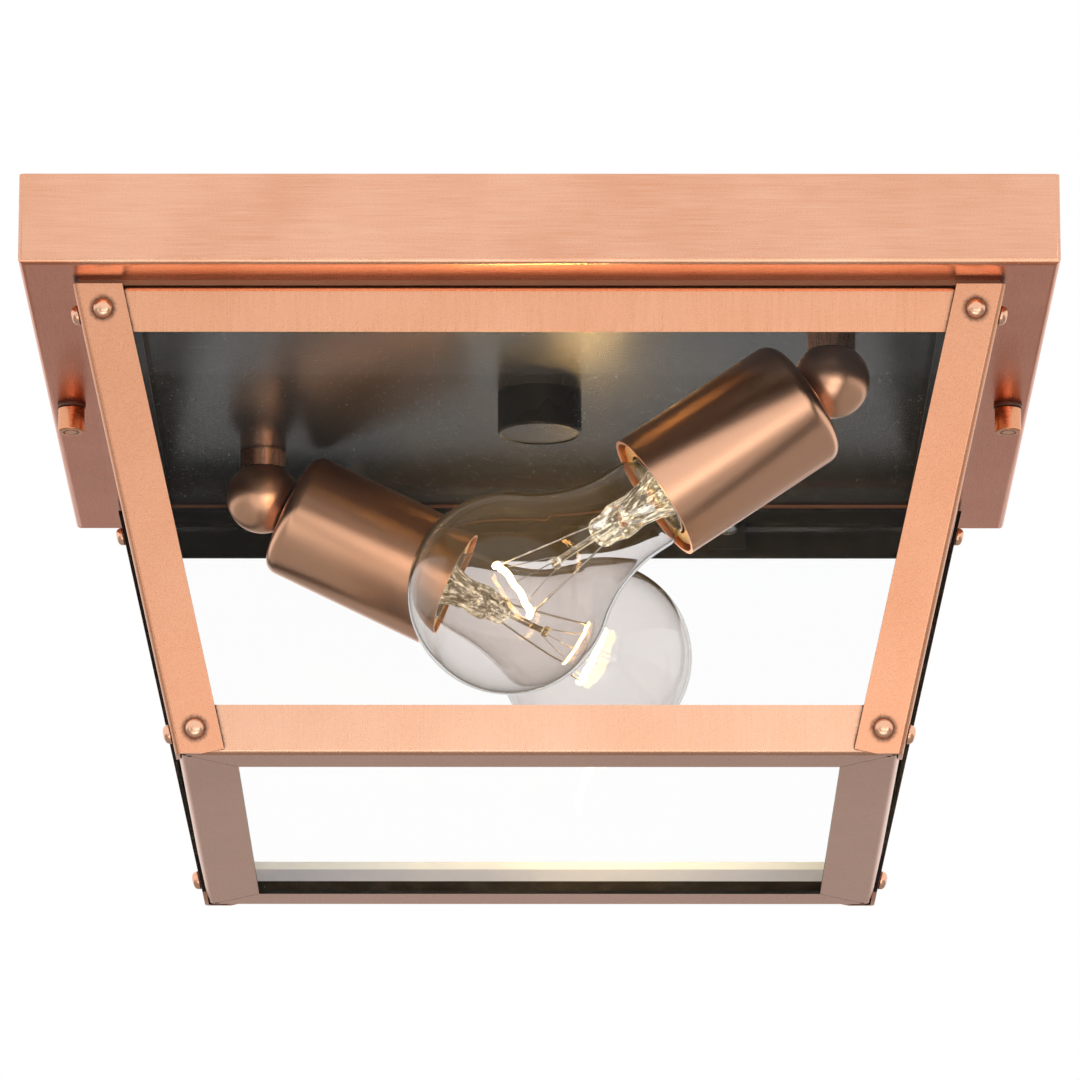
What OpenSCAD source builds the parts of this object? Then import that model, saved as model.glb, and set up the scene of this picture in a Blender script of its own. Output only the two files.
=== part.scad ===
// Square lantern flush mount light: a folded canopy, a riveted cage that narrows
// downwards and is open below, and two lampholders on ball swivels.
// The origin is the centre of the ceiling plane, +Z is up and the light hangs below it.

/* [Canopy] */
// Width of the square canopy
canopy_w = 300; // [298:1:330]
// Height of the canopy's sides
canopy_h = 27; // [26:0.5:40]
// Thickness of the canopy's sheet
canopy_wall = 1; // [0.8:0.1:1.4]
// Outside radius of the fold round the canopy's underside
canopy_fold_r = 2; // [1.5:0.1:3]
// Outside radius of the canopy's upright corners
canopy_corner_r = 1.6; // [1.5:0.1:3]
// Distance that the canopy's underside reaches in under the cage's top flange
ledge_lap = 16; // [13:0.5:16.5]

/* [Socket plate] */
// Thickness of the plate that carries the lampholders
plate_t = 0.8; // [0.6:0.1:1.2]
// Height by which the plate's middle is dished above its rim
plate_step = 1.5; // [1:0.1:3]
// Width of the plate's rim outside the dish
plate_rim = 18; // [14:0.5:20]

/* [Cage] */
// Distance from the canopy's sides in to the cage's top edges
cage_inset = 15; // [14:0.5:19]
// Distance that each face of the cage leans in from top to bottom
cage_taper = 30; // [20:0.5:33]
// Upright height of the cage
cage_h = 132.5; // [125:0.5:150]
// Thickness of the gasket between canopy and cage
gasket_t = 1.5; // [1:0.1:3]
// Width of each flange of the corner posts
post_flange = 14; // [12:0.5:18]
// Thickness of the corner posts' sheet
post_t = 1.2; // [1:0.1:1.6]
// Inside radius of the posts' bend
post_bend_r = 0.4; // [0.2:0.1:0.8]
// Height of the rails' upright webs
rail_h = 14; // [12:0.5:18]
// Width of the rails' level flanges
rail_flange = 17.5; // [15:0.5:20]
// Thickness of the rails' sheet
rail_t = 1; // [0.8:0.1:1.4]
// Inside radius of the rails' bend between web and flange
rail_bend_r = 0.8; // [0.4:0.1:1.2]
// Thickness of the glass panes
glass_t = 2; // [1.6:0.1:2.5]

/* [Rivets and screws] */
// Diameter of the rivet heads
rivet_d = 5.7; // [5:0.1:7]
// Height of the rivet heads
rivet_h = 2.3; // [1.8:0.1:2.6]
// Diameter of the rivet shanks
rivet_shank_d = 3.2; // [2.8:0.1:3.6]
// Distance from the rivets' centres to the cage's top and bottom edges
rivet_inset = 7.2; // [6.5:0.1:8]
// Diameter of the machine screws that hold the cage
screw_d = 4; // [3.5:0.1:4.5]
// Distance of those screws from the middle of each side
screw_x = 60; // [45:1:80]

/* [Crossbar] */
// Width of the crossbar
bar_w = 22; // [18:0.5:26]
// Thickness of the crossbar
bar_t = 2; // [1.6:0.1:2.6]
// Distance between the middles of the two box screw slots
slot_spacing = 79.4; // [76:0.1:84]
// Length of each slot from end to end
slot_l = 16; // [12:0.5:18]
// Width of the slots
slot_w = 4.8; // [4.4:0.1:5.4]
// Distance of the hanging studs from the canopy's outer side
stud_inset = 7; // [6.5:0.1:7.5]
// Diameter of the hanging studs
stud_d = 4; // [3.6:0.1:4.2]
// Diameter of the middle nipple
nipple_d = 10; // [9:0.1:11]
// Diameter of the middle cap
cap_d = 25.6; // [22:0.1:30]
// Height of the middle cap
cap_h = 12.8; // [10:0.1:16]

/* [Knobs] */
// Diameter of the knobs
knob_d = 8; // [7.4:0.1:9]
// Height of the knobs
knob_h = 7.7; // [7:0.1:10]
// Thickness of the washers above the knobs
washer_t = 1.2; // [0.8:0.1:2]

/* [Lamp arms] */
// Distance of each arm from the dish's edge beside it
arm_side_inset = 32.2; // [29:0.1:39]
// Distance of each arm from the dish's edge in front of it or behind it
arm_end_inset = 51.9; // [51:0.1:55]
// Turn of both arms about the upright, away from the side to side line
arm_turn = 1.5; // [-2:0.1:4]
// Tilt of the left lampholder below level
tilt_left = 26; // [24:0.5:38]
// Tilt of the right lampholder below level
tilt_right = 34.5; // [24:0.5:38]
// Least tilt that the swivel's slot allows
tilt_min = 23; // [22:0.5:24]
// Greatest tilt that the swivel's slot allows
tilt_max = 40; // [38:0.5:41]
// Diameter of the collars above the balls
collar_d = 14.4; // [14:0.1:16]
// Height of the collars at their outside
collar_h = 5.8; // [5.5:0.1:8]
// Diameter of the swivel balls
ball_d = 22.6; // [22.4:0.1:24]
// Diameter of the upright hollow nipples
arm_nipple_d = 8; // [7.6:0.1:8.2]
// Diameter of the wider hollow nipples between balls and cups
cup_nipple_d = 11.8; // [11.4:0.1:11.8]

/* [Lampholders] */
// Outside diameter of the socket cups
cup_d = 39.6; // [38:0.1:42]
// Length of the socket cups
cup_l = 54.8; // [53:0.1:58]
// Thickness of the socket cups' wall
cup_wall = 1; // [0.8:0.1:1.4]
// Outside radius of the socket cups' closed end
cup_edge_r = 4.5; // [3:0.1:6]
// Distance from the ball's middle to the cup's closed end
cup_seat = 9.3; // [8.9:0.1:9.4]
// Inside radius of the brass screw shells
shell_r = 13.5; // [13.4:0.05:13.8]

/* [Bulbs] */
// Diameter of the bulbs' globes
bulb_d = 60; // [58:0.5:62]
// Overall length of the bulbs
bulb_l = 110; // [109:0.5:112]
// Radius of the bulbs' necks
neck_r = 14.3; // [14:0.1:15]
// Radius of the hollow curve from neck to globe
shoulder_r = 40; // [36:0.5:42]
// Crest radius of the bulbs' screw caps
bulb_cap_r = 13.1; // [12.9:0.05:13.1]
// Wall thickness of the bulbs' glass
bulb_wall = 0.8; // [0.6:0.1:1]

/* [Hidden] */
$fn = 64;

// Colours of the finishes
copper = "#c9865f";
gunmetal = "#3b3b3d";
zinc = "#b9bcc0";
brass = "#c8a24a";
clear = [0.85, 0.9, 0.92, 0.3];
black = "#202022";

// Overrun of every cut past the face that it opens
overrun = 1;
// Gap between flat pieces that only lie side by side
side_gap = 0.15;
// Radial clearance of a screw or nipple in its hole
hole_gap = 0.1;
// Radial clearance of the knobs on their studs
thread_gap = 0.05;
// Gap between the swivel balls and their seats
swivel_gap = 0.25;

// Levels from the ceiling down
ledge_z = -canopy_h;
ledge_top_z = ledge_z + canopy_wall;
plate_rim_top_z = ledge_top_z + plate_t;
plate_z = ledge_top_z + plate_t + plate_step;
plate_top_z = plate_z + plate_t;
cage_z = ledge_z - gasket_t;
cage_foot_z = cage_z - cage_h;
top_flange_z = cage_z - rail_t;

// Outside widths of the cage at its top and bottom
cage_top_w = canopy_w - 2 * cage_inset;
cage_bottom_w = cage_top_w - 2 * cage_taper;

// Slope of the cage's faces and of the corner lines in them
face_l = sqrt(cage_taper * cage_taper + cage_h * cage_h);
face_tilt = atan(cage_taper / cage_h);
edge_tilt = atan(cage_taper / face_l);
edge_l = sqrt(face_l * face_l + cage_taper * cage_taper);
// Half of the angle between two neighbouring faces, inside the corner
corner_half = 90 - acos(sin(face_tilt) * sin(face_tilt)) / 2;

// Half widths in plan
top_flange_inner = cage_top_w / 2 - rail_flange;
bottom_flange_inner = cage_bottom_w / 2 - rail_flange;
ledge_inner = cage_top_w / 2 - ledge_lap;
screw_y = cage_top_w / 2 - rail_flange / 2 - post_t;
dish_inner = ledge_inner;
plate_half = dish_inner + plate_rim;
stud_x = canopy_w / 2 - stud_inset;
arm_x = dish_inner - arm_side_inset;
arm_y = dish_inner - arm_end_inset;

// Outside radii of the bends, and how far the posts' bend takes from each flange
post_fold_r = post_t + post_bend_r;
rail_fold_r = rail_t + rail_bend_r;
post_fold_l = post_fold_r / tan(corner_half);
// Flats that stand in for each sheet bend's curve
fold_steps = 8;
// Depth behind a face of the middle of its rails' bends, and their distances down the slope
bend_depth = post_t + rail_fold_r;
top_bend_t = (rail_fold_r + bend_depth * sin(face_tilt)) / cos(face_tilt);
foot_bend_t = (cage_h - rail_fold_r + bend_depth * sin(face_tilt)) / cos(face_tilt);

// Distance of the rail ends from the corner line, clear of the next face's rail
rail_end = 3;
// Distance of the pane edges from the corner line, clear of the rivet tails
pane_side = 10.6;
// Depth of the panes behind the faces
pane_gap = 0.1;
pane_depth = post_t + rail_t + pane_gap;
// Distance of the panes' top edge down the slope; at its foot each pane stands in the rail's bend
pane_top = 4;
pane_foot = foot_bend_t;

// Clips that hold the panes: sheet, width, length of the leg and reach past the screw
clip_t = 0.8;
clip_w = 12;
clip_leg = 11;
clip_reach = 4.2;

// Heads and nuts
pan_head_d = 7.4;
pan_head_h = 2.4;
pan_edge_r = 1.2;
screw_up = 3.4;
small_nut_af = 7;
small_nut_h = 3;
nipple_nut_af = 15;
nipple_nut_h = 3.5;
arm_nut_af = 12;
arm_nut_h = 4;
nut_gap = 0.05;
rivet_side_h = 1.1;
rivet_tail_d = 4.8;
rivet_tail_h = 1;

// Crossbar ends, ground screw and studs
bar_end_gap = 1.5;
bar_end_r = 4;
ground_x = -22;
ground_head_d = 8;
stud_into_knob = 5.2;
stud_tip_gap = 0.6;
stud_top_gap = 0.3;
nipple_bore_r = 3.6;
cap_wall = 3;
cap_chamfer = 0.6;
cap_rim_w = 0.9;
cap_rim_h = 0.35;

// Knobs
knob_chamfer = 0.4;
knob_turning_w = 0.5;
knob_turning_h = 0.25;
washer_lip = 0.3;

// Arms
ball_r = ball_d / 2;
ball_wall = 3.5;
ball_seat_r = ball_r + swivel_gap;
ball_z = plate_z - collar_h - sqrt(ball_seat_r * ball_seat_r - collar_d * collar_d / 4);
arm_bore_r = 2.6;
arm_nipple_up = 6;
arm_nipple_end = 2;
swivel_nut_r = 5.6;
swivel_nut_foot = 1.5;
slot_half = arm_nipple_d / 2 + hole_gap * 2;

// Lampholders, measured from the ball's middle along the cup
cup_mouth = cup_seat + cup_l;
holder_r = 16.5;
holder_l = 38.3;
holder_floor = 6;
holder_mouth_gap = 2;
holder_boss_r = 9.5;
holder_boss_l = cup_l - cup_wall - holder_mouth_gap - holder_l;
shell_t = 0.5;
shell_floor_gap = 0.6;
shell_hole_r = 8;
shell_lip_r = 17.4;
cup_nipple_start = 5.5;
cup_nipple_end_gap = 2.3;
cup_nipple_end = cup_seat + cup_wall + holder_boss_l - cup_nipple_end_gap;
cup_bore_r = 4;
contact_w = 5;
contact_t = 0.5;
contact_foot = 7;
contact_gap = 0.3;

// Bulbs, measured from the contact tip along the bulb
bulb_out = 1;
tip_d = 7;
tip_h = 1.2;
insulator_h = 3.3;
insulator_top_r = 11.4;
cap_metal_l = 22.5;
cap_metal_wall = 0.5;
thread_pitch = 3.63;
thread_rings = 5;
thread_ring_r = 1;
neck_tuck = 6;
neck_tuck_r = 11.9;
neck_cone = 3.5;
stem_flare_r = neck_tuck_r - bulb_wall;
stem_r = 4.2;
stem_flare_h = 6;
stem_l = 32;
stem_press_l = 8;
lead_r = 0.35;
lead_top = 20;
lead_spread = 9;
button_r = 1.8;
button_h = 1.4;
filament_r = 0.6;
support_count = 3;
bend_steps = 10;
globe_steps = 24;
bulb_back = bulb_l - bulb_d / 2;
bulb_tip = cup_mouth - bulb_out - insulator_h - cap_metal_l - tip_h;

// Half distance across the corners of a hexagon, from its distance across flats
function hex_r(af) = af / 2 / cos(30);

// Distance from the middle of a face to its corner line, t down the slope
function corner_x(t) = cage_top_w / 2 - t * cage_taper / face_l;

// Distance along a face that lies d square to its corner line
function along(d) = d / cos(edge_tilt);

// Half width of the cage's outside at level z
function face_y(z) = cage_top_w / 2 - (cage_z - z) * tan(face_tilt);

// Point of a face's cross section, t down the slope and d behind the face
function slope_point(t, d) = [t * sin(face_tilt) + d * cos(face_tilt) - cage_top_w / 2,
  cage_z - t * cos(face_tilt) + d * sin(face_tilt)];

// Points on an arc round middle, from angle a to angle b
function arc(middle, r, a, b) =
  [for (i = [0:fold_steps]) let(c = a + (b - a) * i / fold_steps) middle + r * [cos(c), sin(c)]];

// Point p mirrored across the X axis
function mirrored(p) = [p[0], -p[1]];

// Half width in plan of the middle of a rail's web at level z
function web_y(z) = face_y(z) - (post_t + rail_t / 2) / cos(face_tilt);

// Square in plan with round corners
module rounded_square(w, r) {
  square([w - 2 * r, w], center = true);
  square([w, w - 2 * r], center = true);
  for (x = [-1, 1], y = [-1, 1])
    translate([x * (w / 2 - r), y * (w / 2 - r)]) circle(r);
}

// Outline of a folded pan seen from its side: open end at y = 0, round corners below
module fold_outline(w, h, r) {
  translate([-w / 2, -(h - r)]) square([w, h - r]);
  translate([-(w / 2 - r), -h]) square([w - 2 * r, h]);
  for (x = [-1, 1]) translate([x * (w / 2 - r), -(h - r)]) circle(r);
}

// Solid block with round upright corners and a round fold along its four lower edges
module folded_block(w, h, fold_r, corner_r) {
  intersection() {
    translate([0, 0, -h]) linear_extrude(h) rounded_square(w, corner_r);
    rotate([90, 0, 0]) linear_extrude(w, center = true) fold_outline(w, h, fold_r);
    rotate([90, 0, 90]) linear_extrude(w, center = true) fold_outline(w, h, fold_r);
  }
}

// Hexagon nut standing on z = 0
module hex_nut(af, h, bore_r) {
  difference() {
    intersection() {
      cylinder(h = h, r = hex_r(af), $fn = 6);
      cylinder(h = h, r1 = hex_r(af), r2 = af / 2);
    }
    translate([0, 0, -overrun]) cylinder(h = h + 2 * overrun, r = bore_r);
  }
}

// Tube along +Z from z0 to z1
module tube(z0, z1, r, bore_r) {
  difference() {
    translate([0, 0, z0]) cylinder(h = z1 - z0, r = r);
    translate([0, 0, z0 - overrun]) cylinder(h = z1 - z0 + 2 * overrun, r = bore_r);
  }
}

// Round rod from point a to point b
module rod(a, b, r) {
  v = b - a;
  translate(a) rotate([0, acos(v[2] / norm(v)), atan2(v[1], v[0])])
    cylinder(h = norm(v), r = r, $fn = 16);
}

// Places its children on face k of the cage: X along the face, -Z down the slope, +Y inwards
module on_face(k) {
  rotate([0, 0, 90 * k]) translate([0, -cage_top_w / 2, cage_z]) rotate([face_tilt, 0, 0])
    children();
}

// Sheet in a face, from points of (distance from the middle, distance down the slope)
module face_sheet(points, depth, t) {
  translate([0, depth + t, 0]) rotate([90, 0, 0]) linear_extrude(t)
    polygon([for (p = points) [p[0], -p[1]]]);
}

// Space between two levels that trims the sloping sheets level
module level_slab(z0, z1) {
  translate([-cage_top_w, -cage_top_w, z0]) cube([2 * cage_top_w, 2 * cage_top_w, z1 - z0]);
}

// Puts its children at the four rivets of face k, with +Y inwards and y = 0 on the face
module at_rivets(k) {
  on_face(k) for (side = [-1, 1], t = [rivet_inset, face_l - rivet_inset])
    translate([side * (corner_x(t) - along(post_flange / 2)), 0, -t]) rotate([-90, 0, 0])
      children();
}

// Holes for the rivets of face k
module rivet_holes(k) {
  at_rivets(k) translate([0, 0, -overrun])
    cylinder(h = post_t + rail_t + 2 * overrun, r = rivet_shank_d / 2 + nut_gap);
}

// Puts its children at the eight cage screws, at level z
module at_screws(z) {
  for (k = [0:3]) rotate([0, 0, 90 * k]) for (x = [-1, 1])
    translate([x * screw_x, -screw_y, z]) children();
}

// Holes for the cage screws from level z0 to z1
module screw_holes(z0, z1) {
  at_screws(z0 - overrun) cylinder(h = z1 - z0 + 2 * overrun, r = screw_d / 2 + hole_gap);
}

// Cross section of a corner post square to its corner line, with the bend's middle at the origin
// and +X out through the corner
module post_section() {
  half = 90 - corner_half;
  out = [sin(corner_half), cos(corner_half)];
  end = (post_flange - post_fold_l) * [-cos(corner_half), sin(corner_half)];
  polygon(concat([post_fold_r * out + end], arc([0, 0], post_fold_r, half, -half),
    [mirrored(post_fold_r * out + end), mirrored(post_bend_r * out + end)],
    arc([0, 0], post_bend_r, -half, half), [post_bend_r * out + end]));
}

// Corner post between face k and the next
module corner_post(k) {
  middle = cage_top_w / 2 - post_fold_r / cos(face_tilt);
  color(copper) difference() {
    intersection() {
      level_slab(cage_foot_z, cage_z);
      rotate([0, 0, 90 * k]) translate([middle, -middle, cage_z])
        rotate([0, 90 + asin(cage_h / edge_l), 135]) translate([0, 0, -overrun])
          linear_extrude(edge_l + 2 * overrun) post_section();
    }
    rivet_holes(k);
    rivet_holes(k + 1);
  }
}

// Cross section of a rail: web from its bend to web_t, the bend, and the level flange in to inner.
// up is 1 where the flange is at the top and -1 where it is at the foot
module rail_section(up, bend_t, web_t, inner) {
  middle = slope_point(bend_t, bend_depth);
  web_a = 180 + face_tilt;
  flange_a = 180 - 90 * up;
  polygon(concat([slope_point(web_t, post_t)], arc(middle, rail_fold_r, web_a, flange_a),
    [[-inner, middle[1] + up * rail_fold_r], [-inner, middle[1] + up * rail_bend_r]],
    arc(middle, rail_bend_r, flange_a, web_a), [slope_point(web_t, post_t + rail_t)]));
}

// Space that a rail may fill: web and bend end short of the corner lines, and the flange is mitred
module rail_room(k, bend_t, inner) {
  t0 = -overrun;
  t1 = face_l + overrun;
  e = along(rail_end);
  outer = -slope_point(bend_t, bend_depth)[0];
  on_face(k) face_sheet([[-(corner_x(t0) - e), t0], [corner_x(t0) - e, t0],
    [corner_x(t1) - e, t1], [-(corner_x(t1) - e), t1]], 0, bend_depth + rail_fold_r);
  rotate([0, 0, 90 * k]) translate([0, 0, cage_foot_z - overrun])
    linear_extrude(cage_h + 2 * overrun)
      polygon([[-(outer - side_gap), -outer], [outer - side_gap, -outer],
        [inner - side_gap, -inner], [-(inner - side_gap), -inner]]);
}

// Rail of face k, bent from sheet
module rail(k, up, bend_t, web_t, inner) {
  intersection() {
    rotate([0, 0, 90 * k]) rotate([90, 0, 90])
      linear_extrude(cage_top_w, center = true) rail_section(up, bend_t, web_t, inner);
    rail_room(k, bend_t, inner);
  }
}

module top_rail(k) {
  color(copper) difference() {
    rail(k, 1, top_bend_t, rail_h, top_flange_inner);
    rivet_holes(k);
    screw_holes(top_flange_z, cage_z);
  }
}

module bottom_rail(k) {
  color(copper) difference() {
    rail(k, -1, foot_bend_t, face_l - rail_h, bottom_flange_inner);
    rivet_holes(k);
  }
}

module glass_pane(k) {
  e = along(pane_side);
  color(clear) on_face(k)
    face_sheet([[-(corner_x(pane_top) - e), pane_top], [corner_x(pane_top) - e, pane_top],
      [corner_x(pane_foot) - e, pane_foot], [-(corner_x(pane_foot) - e), pane_foot]],
      pane_depth, glass_t);
}

// Clips between the screw heads and the top flanges, each with a leg against a pane
module glass_clips() {
  leg_depth = pane_depth + glass_t + pane_gap;
  leg_foot = (clip_leg + leg_depth * sin(face_tilt)) / cos(face_tilt);
  level_outer = face_y(top_flange_z) - (leg_depth + clip_t / 2) / cos(face_tilt);
  color(zinc) difference() {
    for (k = [0:3], side = [-1, 1]) {
      intersection() {
        level_slab(cage_foot_z, top_flange_z);
        on_face(k) face_sheet([[side * screw_x - clip_w / 2, 0],
          [side * screw_x + clip_w / 2, 0], [side * screw_x + clip_w / 2, leg_foot],
          [side * screw_x - clip_w / 2, leg_foot]], leg_depth, clip_t);
      }
      rotate([0, 0, 90 * k])
        translate([side * screw_x - clip_w / 2, -level_outer, top_flange_z - clip_t])
          cube([clip_w, level_outer - screw_y + clip_reach, clip_t]);
    }
    screw_holes(top_flange_z - clip_t, top_flange_z);
  }
}

// Rivet head in outline: short upright side under a shallow dome
module rivet_head() {
  dome_h = rivet_h - rivet_side_h;
  dome_r = (rivet_d * rivet_d / 4 + dome_h * dome_h) / (2 * dome_h);
  cylinder(h = rivet_side_h, r = rivet_d / 2);
  intersection() {
    translate([0, 0, rivet_h - dome_r]) sphere(dome_r);
    cylinder(h = rivet_h, r = rivet_d / 2);
  }
}

module rivets() {
  stack = post_t + rail_t;
  color(copper) for (k = [0:3]) at_rivets(k) {
    rotate([180, 0, 0]) rivet_head();
    translate([0, 0, -nut_gap]) cylinder(h = stack + 2 * nut_gap, r = rivet_shank_d / 2);
    translate([0, 0, stack]) cylinder(h = rivet_tail_h, r1 = rivet_tail_d / 2, r2 = rivet_shank_d / 2);
  }
}

module canopy() {
  inner_w = canopy_w - 2 * canopy_wall;
  color(copper) difference() {
    folded_block(canopy_w, canopy_h, canopy_fold_r, canopy_corner_r);
    folded_block(inner_w, canopy_h - canopy_wall, canopy_fold_r - canopy_wall,
      canopy_corner_r - canopy_wall);
    translate([0, 0, -canopy_wall]) linear_extrude(canopy_wall + overrun)
      rounded_square(inner_w, canopy_corner_r - canopy_wall);
    translate([-ledge_inner, -ledge_inner, ledge_z - overrun])
      cube([2 * ledge_inner, 2 * ledge_inner, canopy_wall + 2 * overrun]);
    screw_holes(ledge_z, ledge_top_z);
    for (x = [-1, 1]) translate([x * stud_x, 0, ledge_z - overrun])
      cylinder(h = canopy_wall + 2 * overrun, r = stud_d / 2 + 2 * hole_gap);
  }
}

// Puts its children at the left arm's and the right arm's uprights
module at_arms() {
  for (side = [-1, 1]) translate([side * arm_x, -side * arm_y, 0]) children();
}

module socket_plate() {
  field_w = 2 * (dish_inner + plate_t);
  color(gunmetal) difference() {
    union() {
      translate([0, 0, ledge_top_z]) linear_extrude(plate_t) square(2 * plate_half, center = true);
      translate([0, 0, ledge_top_z]) linear_extrude(plate_top_z - ledge_top_z)
        square(field_w, center = true);
    }
    translate([0, 0, ledge_top_z - overrun]) linear_extrude(plate_z - ledge_top_z + overrun)
      square(2 * dish_inner, center = true);
    screw_holes(ledge_top_z, plate_rim_top_z);
    at_arms() translate([0, 0, plate_z - overrun])
      cylinder(h = plate_t + 2 * overrun, r = arm_nipple_d / 2 + hole_gap);
    translate([0, 0, plate_z - overrun])
      cylinder(h = plate_t + 2 * overrun, r = nipple_d / 2 + hole_gap);
  }
}

module cage_gasket() {
  color(black) difference() {
    translate([0, 0, cage_z]) linear_extrude(gasket_t) difference() {
      square(2 * web_y(cage_z), center = true);
      square(2 * ledge_inner, center = true);
    }
    screw_holes(cage_z, ledge_z);
  }
}

// Pan head screws from under the clips up through flange, gasket, ledge and plate rim
module cage_screws() {
  seat_z = top_flange_z - clip_t;
  color(zinc) at_screws(seat_z) {
    translate([0, 0, -(pan_head_h - pan_edge_r)])
      cylinder(h = pan_head_h - pan_edge_r, r = pan_head_d / 2);
    translate([0, 0, -pan_head_h])
      cylinder(h = pan_edge_r, r1 = pan_head_d / 2 - pan_edge_r, r2 = pan_head_d / 2);
    translate([0, 0, -overrun])
      cylinder(h = overrun + plate_rim_top_z + screw_up - seat_z, r = screw_d / 2);
  }
}

module cage_nuts() {
  color(zinc) at_screws(plate_rim_top_z) hex_nut(small_nut_af, small_nut_h, screw_d / 2 + nut_gap);
}

module crossbar() {
  half = canopy_w / 2 - canopy_wall - bar_end_gap;
  color(zinc) translate([0, 0, -bar_t]) linear_extrude(bar_t) difference() {
    union() {
      square([2 * (half - bar_end_r), bar_w], center = true);
      square([2 * half, bar_w - 2 * bar_end_r], center = true);
      for (x = [-1, 1], y = [-1, 1])
        translate([x * (half - bar_end_r), y * (bar_w / 2 - bar_end_r)]) circle(bar_end_r);
    }
    for (x = [-1, 1]) {
      translate([x * slot_spacing / 2, 0]) {
        square([slot_l - slot_w, slot_w], center = true);
        for (e = [-1, 1]) translate([e * (slot_l - slot_w) / 2, 0]) circle(slot_w / 2);
      }
      translate([x * stud_x, 0]) circle(stud_d / 2 + nut_gap);
    }
    translate([ground_x, 0]) circle(screw_d / 2 + nut_gap);
    circle(nipple_d / 2 + nut_gap);
  }
}

module crossbar_studs() {
  foot_z = ledge_z - washer_t - stud_into_knob;
  color(zinc) for (x = [-1, 1]) translate([x * stud_x, 0, foot_z])
    cylinder(h = -stud_top_gap - foot_z, r = stud_d / 2);
}

module stud_nuts() {
  color(zinc) for (x = [-1, 1]) translate([x * stud_x, 0, -bar_t]) rotate([180, 0, 0])
    hex_nut(small_nut_af, small_nut_h, stud_d / 2 + nut_gap);
}

module ground_screw() {
  color("#3c8a4a") translate([ground_x, 0, -bar_t]) {
    translate([0, 0, -small_nut_h]) cylinder(h = small_nut_h, r = ground_head_d / 2, $fn = 6);
    cylinder(h = bar_t - stud_top_gap, r = screw_d / 2);
  }
}

module centre_nipple() {
  color(zinc) tube(plate_z - cap_h + cap_wall, -stud_top_gap, nipple_d / 2, nipple_bore_r);
}

// One nut under the crossbar and one on the plate
module centre_nuts() {
  color(zinc) {
    translate([0, 0, -bar_t]) rotate([180, 0, 0])
      hex_nut(nipple_nut_af, nipple_nut_h, nipple_d / 2 + nut_gap);
    translate([0, 0, plate_top_z])
      hex_nut(nipple_nut_af, nipple_nut_h, nipple_d / 2 + nut_gap);
  }
}

// Blind cap nut under the plate, with a fine rim round its foot
module centre_cap() {
  r = cap_d / 2;
  bore_r = nipple_d / 2 + nut_gap;
  color(black) translate([0, 0, plate_z]) rotate_extrude() difference() {
    polygon([[0, 0], [r, 0], [r, -(cap_h - cap_chamfer)], [r - cap_chamfer, -cap_h],
      [r - cap_rim_w, -cap_h], [r - cap_rim_w, -(cap_h - cap_rim_h)], [0, -(cap_h - cap_rim_h)]]);
    translate([0, -(cap_h - cap_wall)]) square([bore_r, cap_h]);
  }
}

// Collar with a hollow seat that the ball turns in
module arm_collars() {
  color(copper) at_arms() difference() {
    translate([0, 0, ball_z]) cylinder(h = plate_z - ball_z, r = collar_d / 2);
    translate([0, 0, ball_z]) sphere(ball_seat_r);
    translate([0, 0, ball_z - overrun])
      cylinder(h = plate_z - ball_z + 2 * overrun, r = arm_nipple_d / 2 + hole_gap);
  }
}

module arm_nipples() {
  color(zinc) at_arms()
    tube(ball_z + arm_nipple_end, plate_top_z + arm_nut_h + arm_nipple_up, arm_nipple_d / 2, arm_bore_r);
}

module arm_nuts() {
  color(zinc) at_arms() translate([0, 0, plate_top_z])
    hex_nut(arm_nut_af, arm_nut_h, arm_nipple_d / 2 + nut_gap);
}

// Round-topped nut inside each ball, which draws the ball into its seat
module swivel_nuts() {
  inner_r = ball_r - ball_wall - swivel_gap;
  color(zinc) at_arms() translate([0, 0, ball_z]) difference() {
    intersection() {
      sphere(inner_r);
      translate([0, 0, swivel_nut_foot]) cylinder(h = ball_r, r = swivel_nut_r);
    }
    cylinder(h = ball_r, r = arm_nipple_d / 2 + nut_gap);
  }
}

// Places its children with +Z from the ball's middle out through the cup's mouth
module on_arm(side) {
  tilt = side < 0 ? tilt_left : tilt_right;
  turn = side < 0 ? arm_turn : 180 + arm_turn;
  translate([side * arm_x, -side * arm_y, ball_z]) rotate([0, 90 + tilt, turn]) children();
}

// Room that the upright nipple needs in the ball over the whole tilt
module swivel_slot() {
  reach = 2 * ball_r;
  for (tilt = [tilt_min, tilt_max]) rotate([0, -(90 + tilt), 0]) cylinder(h = reach, r = slot_half);
  rotate([90, 0, 0]) linear_extrude(2 * slot_half, center = true)
    polygon([[0, 0], [-reach * cos(tilt_min), -reach * sin(tilt_min)],
      [-reach * cos(tilt_max), -reach * sin(tilt_max)]]);
}

module swivel_ball(side) {
  color(copper) on_arm(side) difference() {
    sphere(ball_r);
    sphere(ball_r - ball_wall);
    swivel_slot();
    translate([-ball_r, -ball_r, cup_seat]) cube([2 * ball_r, 2 * ball_r, ball_r]);
    cylinder(h = ball_d, r = cup_nipple_d / 2 + nut_gap);
  }
}

module cup_nipple(side) {
  color(zinc) on_arm(side)
    tube(cup_nipple_start, cup_nipple_end, cup_nipple_d / 2, cup_bore_r);
}

// Half section of a cup: closed end at y = 0 with a round edge of radius e
module cup_outline(r, l, e) {
  translate([0, e]) square([r, l - e]);
  square([r - e, l]);
  translate([r - e, e]) circle(e);
}

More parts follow.
